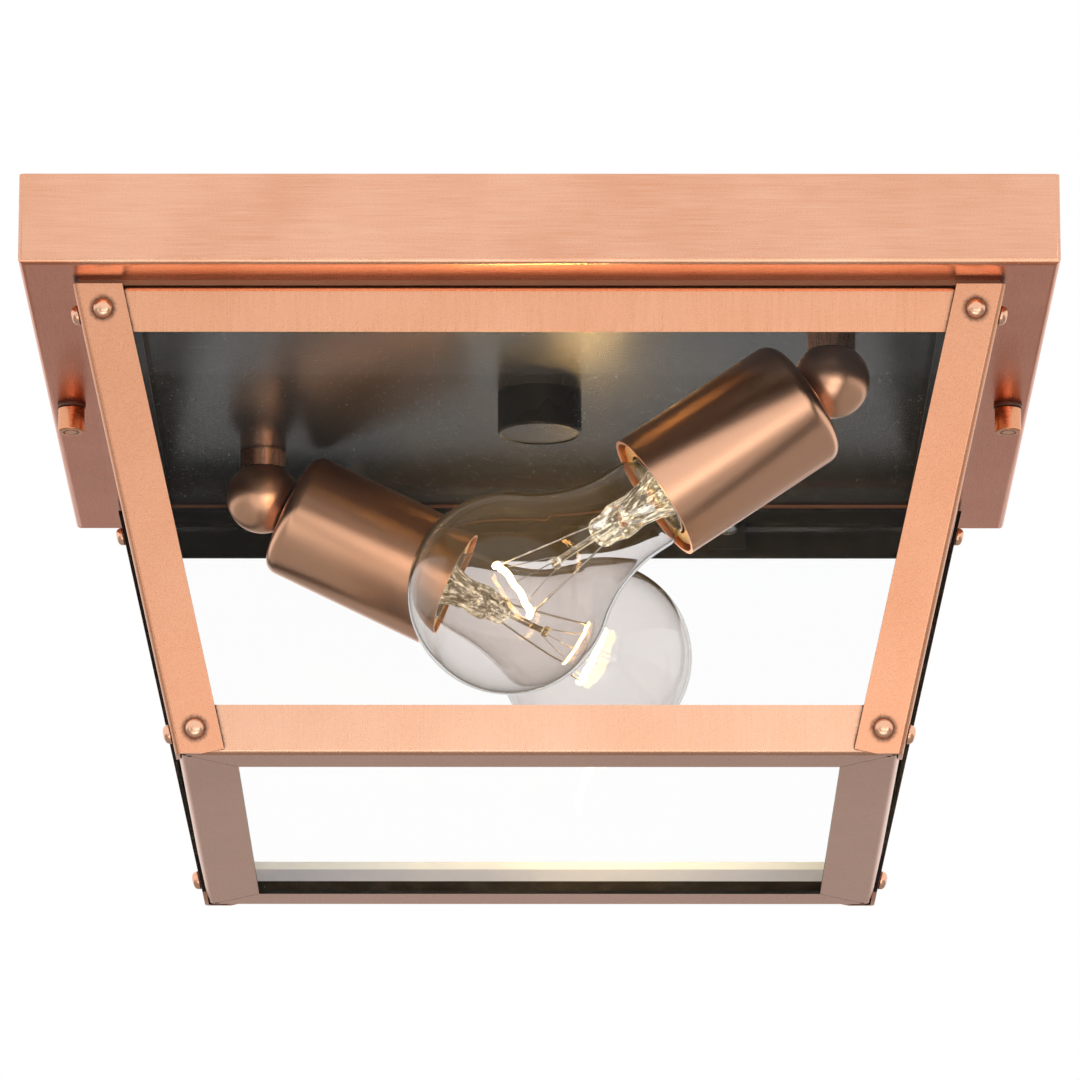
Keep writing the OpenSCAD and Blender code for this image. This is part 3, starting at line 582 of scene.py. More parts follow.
        # Painted reflection: a grey-blue strip along the lining, fading to near white at its top.
        if marks.reflection_strip:
            origin, way, width = marks.reflection_strip
            depth = paint.along(paint.vector("SUBTRACT", paint.coords, origin), way)
            low, high = (width * share for share in self.reflection_strip_fold)
            strip = paint.tint(depth, low, high, self.reflection_strip, self.reflection_strip_top)
            colour = paint.blend(paint.remap(depth, width, width - self.reflection_strip_edge), colour, strip)
        return colour


class Finish:
    """A finish of one kind, whose shader is fed in one way wherever it is used."""

    def material(self, name: str) -> Material:
        """Make the material."""
        paint = Paint(name)
        return paint.shade(self.inputs(paint))

    def inputs(self, paint: Paint) -> dict[str, object]:
        """Return what feeds each input of the shader, by the input's name."""
        raise NotImplementedError


@dataclass(frozen=True)
class Metal(Finish):
    """Plain small hardware metal with faint turning lines and handling marks."""

    effects: Effects
    look: Look
    grime_and_shade: Colour = (0.05, 0.045, 0.04)
    dull: float = 0.75
    smoother: float = 0.06
    rougher: float = 0.1

    def inputs(self, paint: Paint) -> dict[str, object]:
        """Mottle the colour and roughness, and darken the crevices with grime and painted shade.

        Args:
            paint: The material.

        Returns:
            Input name to value.
        """
        colour, rough = self.look.value
        marks = paint.mottle(320.0, 4.0, 0.6)
        # Grime and painted shade in the crevices, from ambient occlusion.
        darkening = paint.group(self.effects.crevice, Reach=0.0015, Strength=0.6)
        tint = paint.tint(marks, 0.35, 0.65, tuple(part * self.dull for part in colour), colour)
        return {"Base Color": paint.blend(darkening, tint, self.grime_and_shade), "Metallic": 1.0,
                "Roughness": paint.remap(marks, 0.3, 0.7, rough - self.smoother, rough + self.rougher),
                "Normal": paint.bump(paint.mottle(1800.0), 0.05)}


@dataclass(frozen=True)
class Lacquer(Finish):
    """Smooth lacquer, glaze or moulded rubber with handling smears and dust."""

    effects: Effects
    colour: Colour
    rough: float = 0.2
    dust: float = 0.3
    specular: float = 0.5
    dust_colour: Colour = (0.5, 0.5, 0.49)
    dust_rough: float = 0.4
    smoother: float = 0.02
    rougher: float = 0.05

    def inputs(self, paint: Paint) -> dict[str, object]:
        """Smear the colour and roughness, and scatter dust.

        Args:
            paint: The material.

        Returns:
            Input name to value.
        """
        smear = paint.mottle(14.0, 4.0, 0.6)
        pale = tuple(min(1.0, part * 1.3 + 0.004) for part in self.colour)
        dusted = paint.group(self.effects.specks, Density=480.0, Size=0.115) * self.dust
        rough = paint.remap(smear, 0.3, 0.75, self.rough - self.smoother, self.rough + self.rougher)
        clean = paint.tint(smear, 0.35, 0.7, self.colour, pale)
        return {"Base Color": paint.blend(dusted, clean, self.dust_colour),
                "Specular IOR Level": self.specular, "Roughness": rough + dusted * self.dust_rough}


@dataclass(frozen=True)
class PaneGlass(Finish):
    """Clear window glass with a little dust."""

    effects: Effects
    ior: float = 1.2
    cool: Colour = (0.997, 1.0, 0.999)
    clear: Colour = (1.0, 1.0, 1.0)

    def inputs(self, paint: Paint) -> dict[str, object]:
        """Tint the glass barely, and dull it where dust lies.

        Args:
            paint: The material.

        Returns:
            Input name to value.
        """
        return {"Transmission Weight": 1.0, "IOR": self.ior,
                "Base Color": paint.tint(paint.mottle(30.0), 0.3, 0.7, self.cool, self.clear),
                "Roughness": paint.group(self.effects.specks, Density=700.0, Size=0.045) * 0.3}


@dataclass(frozen=True)
class BulbGlass(Finish):
    """Thin, slightly smoky bulb glass with painted shade at its limb and a painted glow near the filament.
    """

    lit_at: Vector
    tinge: Colour = (0.85, 0.835, 0.835)
    limb: Colour = (0.035, 0.03, 0.026)
    rim: tuple[float, float] = (0.76, 0.88)
    painted_glow: Colour = (1.0, 0.54, 0.13)
    painted_glow_strength: float = 0.034
    painted_glow_most: float = 0.66
    ior: float = 1.3
    near: float = 0.02
    far: float = 0.05

    def inputs(self, paint: Paint) -> dict[str, object]:
        """Paint shade on the limb, and paint a mottled glow on the glass near the filament.

        Args:
            paint: The material.

        Returns:
            Input name to value.
        """
        # Painted shade: the limb darkens where the glass faces away from view.
        edge = paint.add("ShaderNodeLayerWeight", {"Blend": 0.5})["Facing"]
        limb_shade = paint.highest([paint.maths("POWER", edge, 4.0) * 0.8, paint.remap(edge, *self.rim)])
        swirl = paint.mottle(30.0)
        clear = paint.tint(swirl, 0.3, 0.7, self.tinge, tuple(min(1.0, part * 1.03) for part in self.tinge))
        # Painted glow: the glass emits near the filament, mottled by fine noise.
        lit = paint.remap(paint.gap(paint.coords, self.lit_at), self.far, self.near, 0.25, 1.0)
        glow_mottle = paint.remap(paint.mottle(1500.0, 3.0, 0.7), 0.3, 0.75, 0.55, 1.5)
        return {"Transmission Weight": 1.0, "IOR": self.ior,
                "Base Color": paint.blend(limb_shade, clear, self.limb),
                "Roughness": paint.remap(swirl, 0.3, 0.7, 0.0, 0.01),
                "Emission Color": paint.blend(lit * glow_mottle * self.painted_glow_most, (0.0, 0.0, 0.0), self.painted_glow),
                "Emission Strength": self.painted_glow_strength}


@dataclass(frozen=True)
class StemGlass(Finish):
    """Clear glass of the bulb's stem, crumpled where it was pinched, with painted highlights that glow in
    lines along its tube and round the pinch.
    """

    axis: Vector
    pinch: Vector
    pinch_r: float = 0.0075
    pinch_core: float = 0.003
    wave: float = 0.25
    wave_height: float = 0.0008
    shade: tuple[Colour, Colour] = ((0.9, 0.88, 0.84), (0.97, 0.96, 0.94))
    dim: Colour = (0.02, 0.012, 0.004)
    painted_highlight: Colour = (1.0, 0.88, 0.62)
    painted_highlight_strength: float = 1.0

    def inputs(self, paint: Paint) -> dict[str, object]:
        """Paint glowing highlights in lines along the tube and round the pinch, over a faint painted glow.

        Args:
            paint: The material.

        Returns:
            Input name to value.
        """
        cloud = paint.mottle(120.0)
        drawn = paint.drawn(paint.coords, self.axis, 0.96)
        crumple = (paint.remap(paint.gap(paint.coords, self.pinch), self.pinch_r, self.pinch_core)
                   * paint.remap(paint.mottle(850.0, 4.0, 0.7), 0.52, 0.64))
        # Painted highlights: the glass emits in these streaks, and faintly everywhere else.
        streak = paint.highest([crumple, paint.remap(paint.noise(drawn, 1150.0), 0.55, 0.68)])
        return {"Transmission Weight": 1.0, "Base Color": paint.tint(cloud, 0.3, 0.7, *self.shade),
                "Roughness": paint.remap(cloud, 0.3, 0.7, 0.0, 0.03),
                "Emission Color": paint.blend(streak, self.dim, self.painted_highlight),
                "Emission Strength": self.painted_highlight_strength,
                "Normal": paint.bump(paint.noise(drawn, 520.0, 3.0), self.wave, self.wave_height)}


@dataclass(frozen=True)
class Glow(Finish):
    """Hot tungsten."""

    colour: Colour = (1.0, 0.57, 0.17)
    hottest: Colour = (1.0, 0.7, 0.3)
    strength: float = 450.0
    rough: float = 0.6

    def inputs(self, paint: Paint) -> dict[str, object]:
        """Let the heat vary along the wire."""
        hot = paint.tint(paint.mottle(500.0, 1.0), 0.3, 0.7, self.colour, self.hottest)
        return {"Base Color": hot, "Emission Color": hot, "Emission Strength": self.strength,
                "Roughness": self.rough}


def soften(node: Thing, width: float, segments: int = 2, angle: float = 40.0) -> None:
    """Round a CAD node's edges and shade it smoothly, leaving its mesh as it is.

    Args:
        node: The CAD node.
        width: Width of the rounding in metres.
        segments: Faces across the rounding.
        angle: Least angle between faces that is rounded, in degrees.
    """
    steps = (("weld", "WELD", {"merge_threshold": WELD}),
             ("flats", "DECIMATE", {"decimate_type": "DISSOLVE", "angle_limit": math.radians(0.6)}),
             ("edge", "BEVEL", {"width": width, "segments": segments, "limit_method": "ANGLE",
                                "angle_limit": math.radians(angle)}))
    for name, kind, settings in steps:
        modify(node, name, kind, settings)
    smooth(node, angle)
    for modifier in node.modifiers:
        modifier.use_pin_to_last = False
    modify(node, "level", "WEIGHTED_NORMAL", {"keep_sharp": True, "weight": 80})


def modify(node: Thing, name: str, kind: str, settings: dict[str, object]) -> None:
    """Add a modifier.

    Args:
        node: The object.
        name: Name of the modifier.
        kind: Its type.
        settings: Properties to set on it.
    """
    modifier = node.modifiers.new(name, kind)
    for label, setting in settings.items():
        setattr(modifier, label, setting)


def smooth(node: Thing, angle: float = 35.0) -> None:
    """Add smooth shading that keeps edges sharper than the angle."""
    with bpy.context.temp_override(object=node, active_object=node, selected_objects=[node],
                                   selected_editable_objects=[node]):
        bpy.ops.object.shade_auto_smooth(angle=math.radians(angle))


def placed(name: str, data: bpy.types.ID) -> Thing:
    """Make an object of some data and put it in the scene.

    Args:
        name: Name of the object.
        data: Its mesh, lamp or camera.

    Returns:
        The object.
    """
    thing = bpy.data.objects.new(name, data)
    bpy.context.scene.collection.objects.link(thing)
    return thing


def piece(name: str, shape: Shape | Mesh, place: Matrix, material: Material) -> Thing:
    """Make a mesh piece that sits in place and is shaded smoothly.

    Args:
        name: Name of the piece.
        shape: Points and faces, or a mesh, in the piece's own frame, in metres.
        place: Where the piece's own frame is.
        material: Its material.

    Returns:
        The new object, at the origin.
    """
    mesh = bpy.data.meshes.new(name)
    work = bmesh.new()
    if isinstance(shape, Mesh):
        work.from_mesh(shape)
    else:
        points = [work.verts.new(point) for point in shape[0]]
        for ring in shape[1]:
            work.faces.new([points[i] for i in ring])
    bmesh.ops.transform(work, matrix=place, verts=work.verts)
    bmesh.ops.remove_doubles(work, verts=work.verts, dist=SAME_POINT)
    bmesh.ops.recalc_face_normals(work, faces=work.faces)
    for face in work.faces:
        face.smooth, face.material_index = True, 0
    work.to_mesh(mesh)
    work.free()
    mesh.materials.append(material)
    return placed(name, mesh)


def revolved(profile: Profile, steps: int, widening: float = 0.0, above: float = 0.0,
             over: float = 1.0) -> Shape:
    """Turn a closed profile round Z.

    Args:
        profile: Radius and height of each point, in metres; the last point joins the first.
        steps: Faces round the axis.
        widening: Share by which the section is widened along X and narrowed along Y.
        above: Height where the widening starts.
        over: Height over which it comes in.

    Returns:
        Points and faces.
    """
    verts, faces = [], []
    count = len(profile)
    for j in range(steps):
        angle = TURN * j / steps
        k = (j + 1) % steps
        for i, (radius, height) in enumerate(profile):
            share = widening * min(1.0, max(0.0, (height - above) / over))
            wide, narrow = radius * (1 + share), radius * (1 - share)
            verts.append((wide * math.cos(angle), narrow * math.sin(angle), height))
            m = (i + 1) % count
            here, there = radius > 0.0, profile[m][0] > 0.0
            if here or there:
                faces.append([j * count + i, *[k * count + i] * here, *[k * count + m] * there,
                              j * count + m])
    return verts, faces


def bent_wire(path: Sequence[Vector], radius: float, sides: int = 8) -> Shape:
    """Sweep a round wire along a path with closed ends.

    Args:
        path: Points of the middle line.
        radius: Radius of the wire.
        sides: Faces round it.

    Returns:
        Points and faces.
    """
    verts, faces = [], []
    last = len(path) - 1
    across = (path[1] - path[0]).orthogonal().normalized()
    for i, point in enumerate(path):
        ahead = (path[min(i + 1, last)] - path[max(i - 1, 0)]).normalized()
        across = (across - ahead * across.dot(ahead)).normalized()
        side = ahead.cross(across)
        for j in range(sides):
            a = TURN * j / sides
            verts.append(tuple(point + (across * math.cos(a) + side * math.sin(a)) * radius))
            if i < last:
                k = (j + 1) % sides
                faces.append((i * sides + j, i * sides + k, (i + 1) * sides + k, (i + 1) * sides + j))
    return verts, [*faces, tuple(range(sides))[::-1], tuple(range(last * sides, (last + 1) * sides))]


def merged(parts: Iterable[Shape]) -> Shape:
    """Join several lists of points and faces into one.

    Args:
        parts: The lists.

    Returns:
        Points and faces.
    """
    verts, faces = [], []
    for some, rings in parts:
        faces.extend(tuple(i + len(verts) for i in ring) for ring in rings)
        verts.extend(some)
    return verts, faces


def lump(mesh: Mesh) -> Shape:
    """Return a mesh's points and faces."""
    return [tuple(v.co) for v in mesh.vertices], [tuple(p.vertices) for p in mesh.polygons]


class Workshop:
    """Geometry Nodes trees for what is turned, threaded, coiled or repeated, each built when first used."""

    WAY = "way"
    THREAD = {"Crest": 0.002, "Depth": 0.0003, "Pitch": 0.0007, "Length": 0.03, "Bore": 0.0, "Wall": 0.0,
              "Runout": 0.0006, "Roundness": 0.0, "Rows": 300, "Inner Rows": 2, "Steps": 24}

    @staticmethod
    def _open(name: str, sizes: dict[str, float]) -> tuple[Nodes, Value]:
        """Start a tree whose inputs are its points, its sizes and its material."""
        shape = {"Geometry": "NodeSocketGeometry"}
        return open_tree(name, "GeometryNodeTree", {**shape, **sizes, "Material": "NodeSocketMaterial"},
                         shape)

    def _close(self, nodes: Nodes, given: Value, *parts: Value) -> Tree:
        """Put the parts on every point, turned to the point's way, and make one real mesh of them.

        Args:
            nodes: The tree's node helper.
            given: The tree's inputs.
            parts: The geometry of one item.

        Returns:
            The tree.
        """
        whole = nodes.add("GeometryNodeJoinGeometry")
        for part in parts:
            nodes.feed(whole.node.inputs[0], part)
        way = nodes.add("GeometryNodeInputNamedAttribute", {"Name": self.WAY}, data_type="FLOAT_VECTOR")
        turn = nodes.add("FunctionNodeAlignRotationToVector", {"Vector": way}, axis="Z")
        spread = nodes.add("GeometryNodeInstanceOnPoints", {"Points": given["Geometry"], "Instance": whole,
                                                            "Rotation": turn})
        real = nodes.add("GeometryNodeRealizeInstances", {"Geometry": spread})
        even = nodes.add("GeometryNodeSetShadeSmooth", {"Geometry": real})
        return nodes.close({"Geometry": nodes.add("GeometryNodeSetMaterial", {
            "Geometry": even, "Material": given["Material"]})})

    @staticmethod
    def _surface(nodes: Nodes, steps: object, rows: object) -> tuple[Value, Value, Value]:
        """Start a surface of revolution.

        Args:
            nodes: The tree's node helper.
            steps: Points round the axis.
            rows: Points along the outline.

        Returns:
            The flat grid, the angle round the axis and the share along the outline.
        """
        grid = nodes.add("GeometryNodeMeshGrid", {"Vertices X": steps, "Vertices Y": rows})
        apart = nodes.add("ShaderNodeSeparateXYZ", {0: nodes.add("GeometryNodeInputPosition")})
        return grid, (apart["X"] + 0.5) * TURN, apart["Y"] + 0.5

    @staticmethod
    def _roll(nodes: Nodes, grid: Value, place: Value) -> Value:
        """Roll a grid up round the axis, and close its seam and poles.

        Args:
            nodes: The tree's node helper.
            grid: The flat grid.
            place: Where each of its points goes.

        Returns:
            The closed mesh.
        """
        moved = nodes.add("GeometryNodeSetPosition", {"Geometry": grid, "Position": place})
        closed = nodes.add("GeometryNodeMergeByDistance", {"Geometry": moved, "Distance": SEAM})
        loose = nodes.maths("LESS_THAN", nodes.add("GeometryNodeInputMeshEdgeNeighbors"), 0.5)
        return nodes.add("GeometryNodeDeleteGeometry", {"Geometry": closed, "Selection": loose},
                         domain="EDGE")

    def _head(self, nodes: Nodes, radius: Value, height: Value, square: float, steps: int = 40,
              rows: int = 14) -> Value:
        """Make a button head on z = 0.

        Args:
            nodes: The tree's node helper.
            radius: Radius of the head.
            height: Height of the head.
            square: How square its section is, where 2 is an ellipse.
            steps: Faces round it.
            rows: Points along its section.

        Returns:
            The mesh.
        """
        grid, angle, share = self._surface(nodes, steps + 1, rows)
        lift = nodes.remap(share, 1.0 / (rows - 1), 1.0, 0.0, math.pi / 2)
        out, up = (nodes.maths("POWER", nodes.maths("MAXIMUM", nodes.maths(wave, lift), 0.0), 2.0 / square)
                   for wave in ("COSINE", "SINE"))
        off_axis = nodes.maths("GREATER_THAN", share, 0.5 / (rows - 1))
        return self._roll(nodes, grid, nodes.polar(radius * out * off_axis, angle, height * up))

    @cached_property
    def rivet(self) -> Tree:
        """Build the rivet: button head, shank through the sheets and a smaller head inside.

        Returns:
            The tree.
        """
        nodes, given = self._open("rivet", {
            "Head Radius": 0.00285, "Head Height": 0.0023, "Shank Radius": 0.0016, "Grip": 0.0022,
            "Tail Radius": 0.0024, "Tail Height": 0.001})
        head = self._head(nodes, given["Head Radius"], given["Head Height"], 2.8)
        tail = self._head(nodes, given["Tail Radius"], given["Tail Height"], 2.2, 28, 8)
        shank = nodes.add("GeometryNodeMeshCylinder", {"Vertices": 24, "Radius": given["Shank Radius"],
                                                       "Depth": given["Grip"]})
        return self._close(nodes, given, head, nodes.lifted(tail, given["Grip"] * -1.0, OVER),
                           nodes.lifted(shank, given["Grip"] * -0.5))

    def _thread(self, nodes: Nodes, size: Value | dict[str, object]) -> Value:
        """Make a threaded rod or tube from z = 0 upwards.

        Args:
            nodes: The tree's node helper.
            size: The sizes of THREAD by name. A wall above nothing makes rolled sheet, whose inside
                follows the thread.

        Returns:
            The mesh.
        """
        rows, inner_rows = size["Rows"], size["Inner Rows"]
        count = rows + inner_rows
        grid, angle, share = self._surface(nodes, size["Steps"] + 1, count + 1)
        row = nodes.maths("ROUND", share * count)
        closing = nodes.maths("GREATER_THAN", row, count - 0.5)
        within = nodes.maths("GREATER_THAN", row, rows - 0.5) * nodes.maths("LESS_THAN", row, count - 0.5)
        up_and_down = nodes.lerp(within, row / (rows - 1.0), (count - 1.0 - row) / (inner_rows - 1.0))
        height = nodes.lerp(closing, up_and_down, 0.0) * size["Length"]
        phase = height / size["Pitch"] - angle * (1 / TURN)
        sharp = nodes.maths("ABSOLUTE", nodes.maths("FRACT", phase) * 2.0 - 1.0)
        wave = nodes.lerp(size["Roundness"], sharp, nodes.maths("COSINE", phase * TURN) * 0.5 + 0.5)
        fade = nodes.remap(nodes.maths("MINIMUM", height, size["Length"] - height), 0.0, size["Runout"])
        radius = size["Crest"] - size["Depth"] * (1.0 - wave * fade)
        rolled = nodes.maths("GREATER_THAN", size["Wall"], SEAM)
        inside = nodes.lerp(rolled, size["Bore"], radius - size["Wall"])
        return self._roll(nodes, grid, nodes.polar(nodes.lerp(within, radius, inside), angle, height))

    @cached_property
    def thread(self) -> Tree:
        """Build the threaded rod or tube."""
        nodes, given = self._open("thread", self.THREAD)
        return self._close(nodes, given, self._thread(nodes, given))

    @cached_property
    def screw(self) -> Tree:
        """Build the pan head machine screw, its head below z = 0, with a cross recess.

        Returns:
            The tree.
        """
        rod = {**self.THREAD, "Length": 0.01, "Rows": 100}
        sized = ("Crest", "Depth", "Pitch", "Length", "Rows")
        nodes, given = self._open("pan head screw", {
            "Head Radius": 0.0037, "Head Height": 0.0024, "Recess": 0.0042, "Recess Width": 0.0009,
            "Recess Depth": 0.0013, **{label: rod[label] for label in sized}})
        head = self._head(nodes, given["Head Radius"], given["Head Height"], 2.4, 32, 10)
        for long, short in (("Recess", "Recess Width"), ("Recess Width", "Recess")):
            size = nodes.xyz(given[long], given[short], given["Recess Depth"] * 2.0)
            cut = nodes.lifted(nodes.add("GeometryNodeMeshCube", {"Size": size}), given["Head Height"])
            head = nodes.add("GeometryNodeMeshBoolean", {"Mesh 1": head, "Mesh 2": cut},
                             operation="DIFFERENCE", solver="EXACT")
        shank = self._thread(nodes, {**rod, "Steps": 20, **{label: given[label] for label in sized}})
        return self._close(nodes, given, nodes.lifted(head, 0.0, OVER), shank)

    @cached_property
    def coil(self) -> Tree:
        """Build the filament: a fine coil bent to half a circle, sagging between its supports.

        Returns:
            The tree.
        """
        nodes, given = self._open("coiled filament", {
            "Arc Radius": 0.009, "Coil Radius": 0.0006, "Wire Radius": 0.0002, "Turns": 40.0, "Sag": 0.0005,
            "Spans": 4.0, "Steps": 400})
        row = nodes.add("GeometryNodeMeshLine", {"Count": given["Steps"] + 1})
        share = nodes.add("GeometryNodeInputIndex") / given["Steps"]
        wind = share * given["Turns"] * TURN
        sag = given["Sag"] * nodes.maths("ABSOLUTE", nodes.maths("SINE", share * given["Spans"] * math.pi))
        reach = given["Arc Radius"] + given["Coil Radius"] * nodes.maths("COSINE", wind)
        lift = given["Coil Radius"] * nodes.maths("SINE", wind) - sag
        moved = nodes.add("GeometryNodeSetPosition", {
            "Geometry": row, "Position": nodes.polar(reach, share * math.pi, lift)})
        line = nodes.add("GeometryNodeMeshToCurve", {"Mesh": moved})
        ring = nodes.add("GeometryNodeCurvePrimitiveCircle", {"Resolution": 6,
                                                              "Radius": given["Wire Radius"]})
        return self._close(nodes, given, nodes.add("GeometryNodeCurveToMesh", {
            "Curve": line, "Profile Curve": ring, "Fill Caps": True}))

    def make(self, tree: Tree, material: Material, sizes: dict[str, float],
             spots: Sequence[tuple[Point, Point]] = ((Vector(), UP),)) -> Mesh:
        """Run a tree and return its result as a plain mesh.

        Args:
            tree: One of the workshop's trees.
            material: The material that it sets.
            sizes: Value of each named input.
            spots: Place and direction of each copy.

        Returns:
            The mesh, in the frame of the spots.
        """
        seed = bpy.data.meshes.new(tree.name)
        seed.from_pydata([tuple(place) for place, _ in spots], [], [])
        attribute = seed.attributes.new(self.WAY, "FLOAT_VECTOR", "POINT")
        for item, (_, way) in zip(attribute.data, spots):
            item.vector = way
        holder = placed(tree.name, seed)
        modifier = holder.modifiers.new("tree", "NODES")
        modifier.node_group = tree
        values = {"Material": material, **sizes}
        for item in tree.interface.items_tree:
            if item.in_out == "INPUT" and item.name in values:
                modifier[item.identifier] = values[item.name]
        graph = bpy.context.evaluated_depsgraph_get()
        mesh = bpy.data.meshes.new_from_object(holder.evaluated_get(graph), depsgraph=graph)
        holder.modifiers.remove(modifier)
        bpy.data.objects.remove(holder)
        return mesh


@dataclass(frozen=True)
class Lamp:
    """One soft rectangular lamp that faces a point."""

    name: str
    place: Point
    aim: Point
    size: tuple[float, float]
    power: float
    colour: Colour = (1.0, 0.99, 0.97)

    def build(self) -> None:
        """Add the lamp to the scene."""
        data = bpy.data.lights.new(self.name, "AREA")
        data.shape = "RECTANGLE"
        data.size, data.size_y = self.size
        data.energy, data.color = self.power, self.colour
        way = (Vector(self.aim) - Vector(self.place)).to_track_quat("-Z", "Y")
        placed(self.name, data).matrix_world = Matrix.Translation(self.place) @ way.to_matrix().to_4x4()


@dataclass
class Studio:
    """Floor, background, lights and camera."""

    floor_z: float = -1.05
    floor_half: float = 6.0
    floor_tones: tuple[Colour, Colour] = ((0.44, 0.44, 0.435), (0.5, 0.5, 0.495))
    eye: Point = (0.0017, -2.3507, -0.6865)
    pitch: float = 14.6996
    yaw: float = 0.0383
    roll: float = 0.0264
    lens: float = 266.3
    sensor: float = 36.0
    clip: float = 0.05
    sky: Colour = (0.72, 0.72, 0.72)
    white: Colour = (1.0, 1.0, 1.0)
    lamps: tuple[Lamp, ...] = (
        Lamp("front softbox", (0.4, -2.6, -0.9), (0.0, 0.0, -0.1), (1.6, 0.3), 3.9),
        Lamp("right key", (0.85, -2.2, -0.68), (0.0, 0.0, -0.12), (0.5, 0.5), 0.75, (1.0, 0.99, 0.96)),
        Lamp("left fill", (-0.85, -1.3, -0.6), (0.0, 0.0, -0.12), (0.4, 0.4), 0.5, (1.0, 0.99, 0.96)),
        Lamp("floor light", (0.0, -1.25, -0.8), (0.0, -1.25, -1.0), (1.0, 0.7), 13.0))

    def build(self) -> None:
        """Make everything that isn't part of the light."""
        self._world()
        self._floor()
        self._camera()
        for lamp in self.lamps:
            lamp.build()
        bpy.context.scene.view_settings.view_transform = "Standard"
        LOG.info("studio built")

    def _world(self) -> None:
        """Make a white background, with a softer light on the object itself."""
        world = bpy.data.worlds.new("studio")
        bpy.context.scene.world = world
        world.use_nodes = True
        world.node_tree.nodes.clear()
        nodes = Nodes(world.node_tree)
        paths = nodes.add("ShaderNodeLightPath")
        seen = nodes.highest([paths[f"Is {ray} Ray"] for ray in ("Camera", "Glossy", "Transmission")])
        light = nodes.add("ShaderNodeBackground", {"Color": nodes.blend(seen, self.sky, self.white)})
        nodes.add("ShaderNodeOutputWorld", {"Surface": light})

    def _floor(self) -> None:
        """Make the pale floor far below, which is clear from underneath."""
        paint = Paint("pale floor")
        paint.shade({"Base Color": paint.blend(paint.mottle(1.5), *self.floor_tones), "Roughness": 0.8})
        below = paint.add("ShaderNodeNewGeometry")["Backfacing"]
        seen = paint.add("ShaderNodeMixShader", {
            0: below, 1: Value(paint, paint.shader), 2: paint.add("ShaderNodeBsdfTransparent")})
        paint.feed(paint.tree.nodes["Material Output"].inputs["Surface"], seen)
        half, z = self.floor_half, self.floor_z
        corners = [(-half, -half, z), (half, -half, z), (half, half, z), (-half, half, z)]
        piece("floor", (corners, [(0, 1, 2, 3)]), Matrix.Identity(4), paint.material)

    def _camera(self) -> None:
        """Make the camera at the photograph's viewing angle."""
        data = bpy.data.cameras.new("camera")
        data.sensor_width, data.lens, data.clip_start = self.sensor, self.lens, self.clip
        camera = placed("camera", data)
        yaw, pitch, roll = (math.radians(part) for part in (self.yaw, 90.0 + self.pitch, self.roll))
        turn = Matrix.Rotation(yaw, 4, "Z") @ Matrix.Rotation(pitch, 4, "X") @ Matrix.Rotation(roll, 4, "Z")
        camera.matrix_world = Matrix.Translation(self.eye) @ turn
        bpy.context.scene.camera = camera


def dress(node: Thing, material: Material) -> None:
    """Give a CAD node one material in all its slots."""
    for slot in node.material_slots:
        slot.material = material


def quarter_turn(quarter: int) -> Matrix:
    """Turn from the front face to another."""
    return Matrix.Rotation(math.radians(90.0 * quarter), 4, "Z")


@dataclass
class Builder:
    """What every sub-assembly needs: the CAD nodes, the shader groups and the trees."""

    nodes: dict[str, Thing]
    effects: Effects
    shop: Workshop
    root: str = "canopy_and_cage"
    steel: str = "zinc_steel"

    def finish(self, material: Material, *names: str, edge: float = 0.0) -> None:
        """Dress CAD nodes, and round their edges or only shade them smoothly.

        Args:
            material: Their material.
            names: Their names.
            edge: Width of the rounding, or nothing for none.
        """
        for name in names:
            node = self.nodes[name]
            dress(node, material)
            if edge:
                soften(node, edge)
            else:
                smooth(node)
            LOG.info("%s dressed", name)

    def fit(self, name: str, shape: Shape | Mesh, material: Material, body: str, slot: str,
            stands_for: str = "", place: Matrix = Matrix.Identity(4)) -> Thing:
        """Add a piece to a body.

        Args:
            name: Name of the piece.
            shape: Its mesh, or points and faces.
            material: Its material.
            body: The body that it rides on.
            slot: The record's material slot that its finish comes from; not used.
            stands_for: The CAD node that it replaces.
            place: Where the shape's own frame is.

        Returns:
            The piece.
        """
        thing = piece(name, shape, place, material)
        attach(thing, body)
        if stands_for:
            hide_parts(stands_for)
        LOG.info("%s: %d faces", name, len(thing.data.polygons))
        return thing


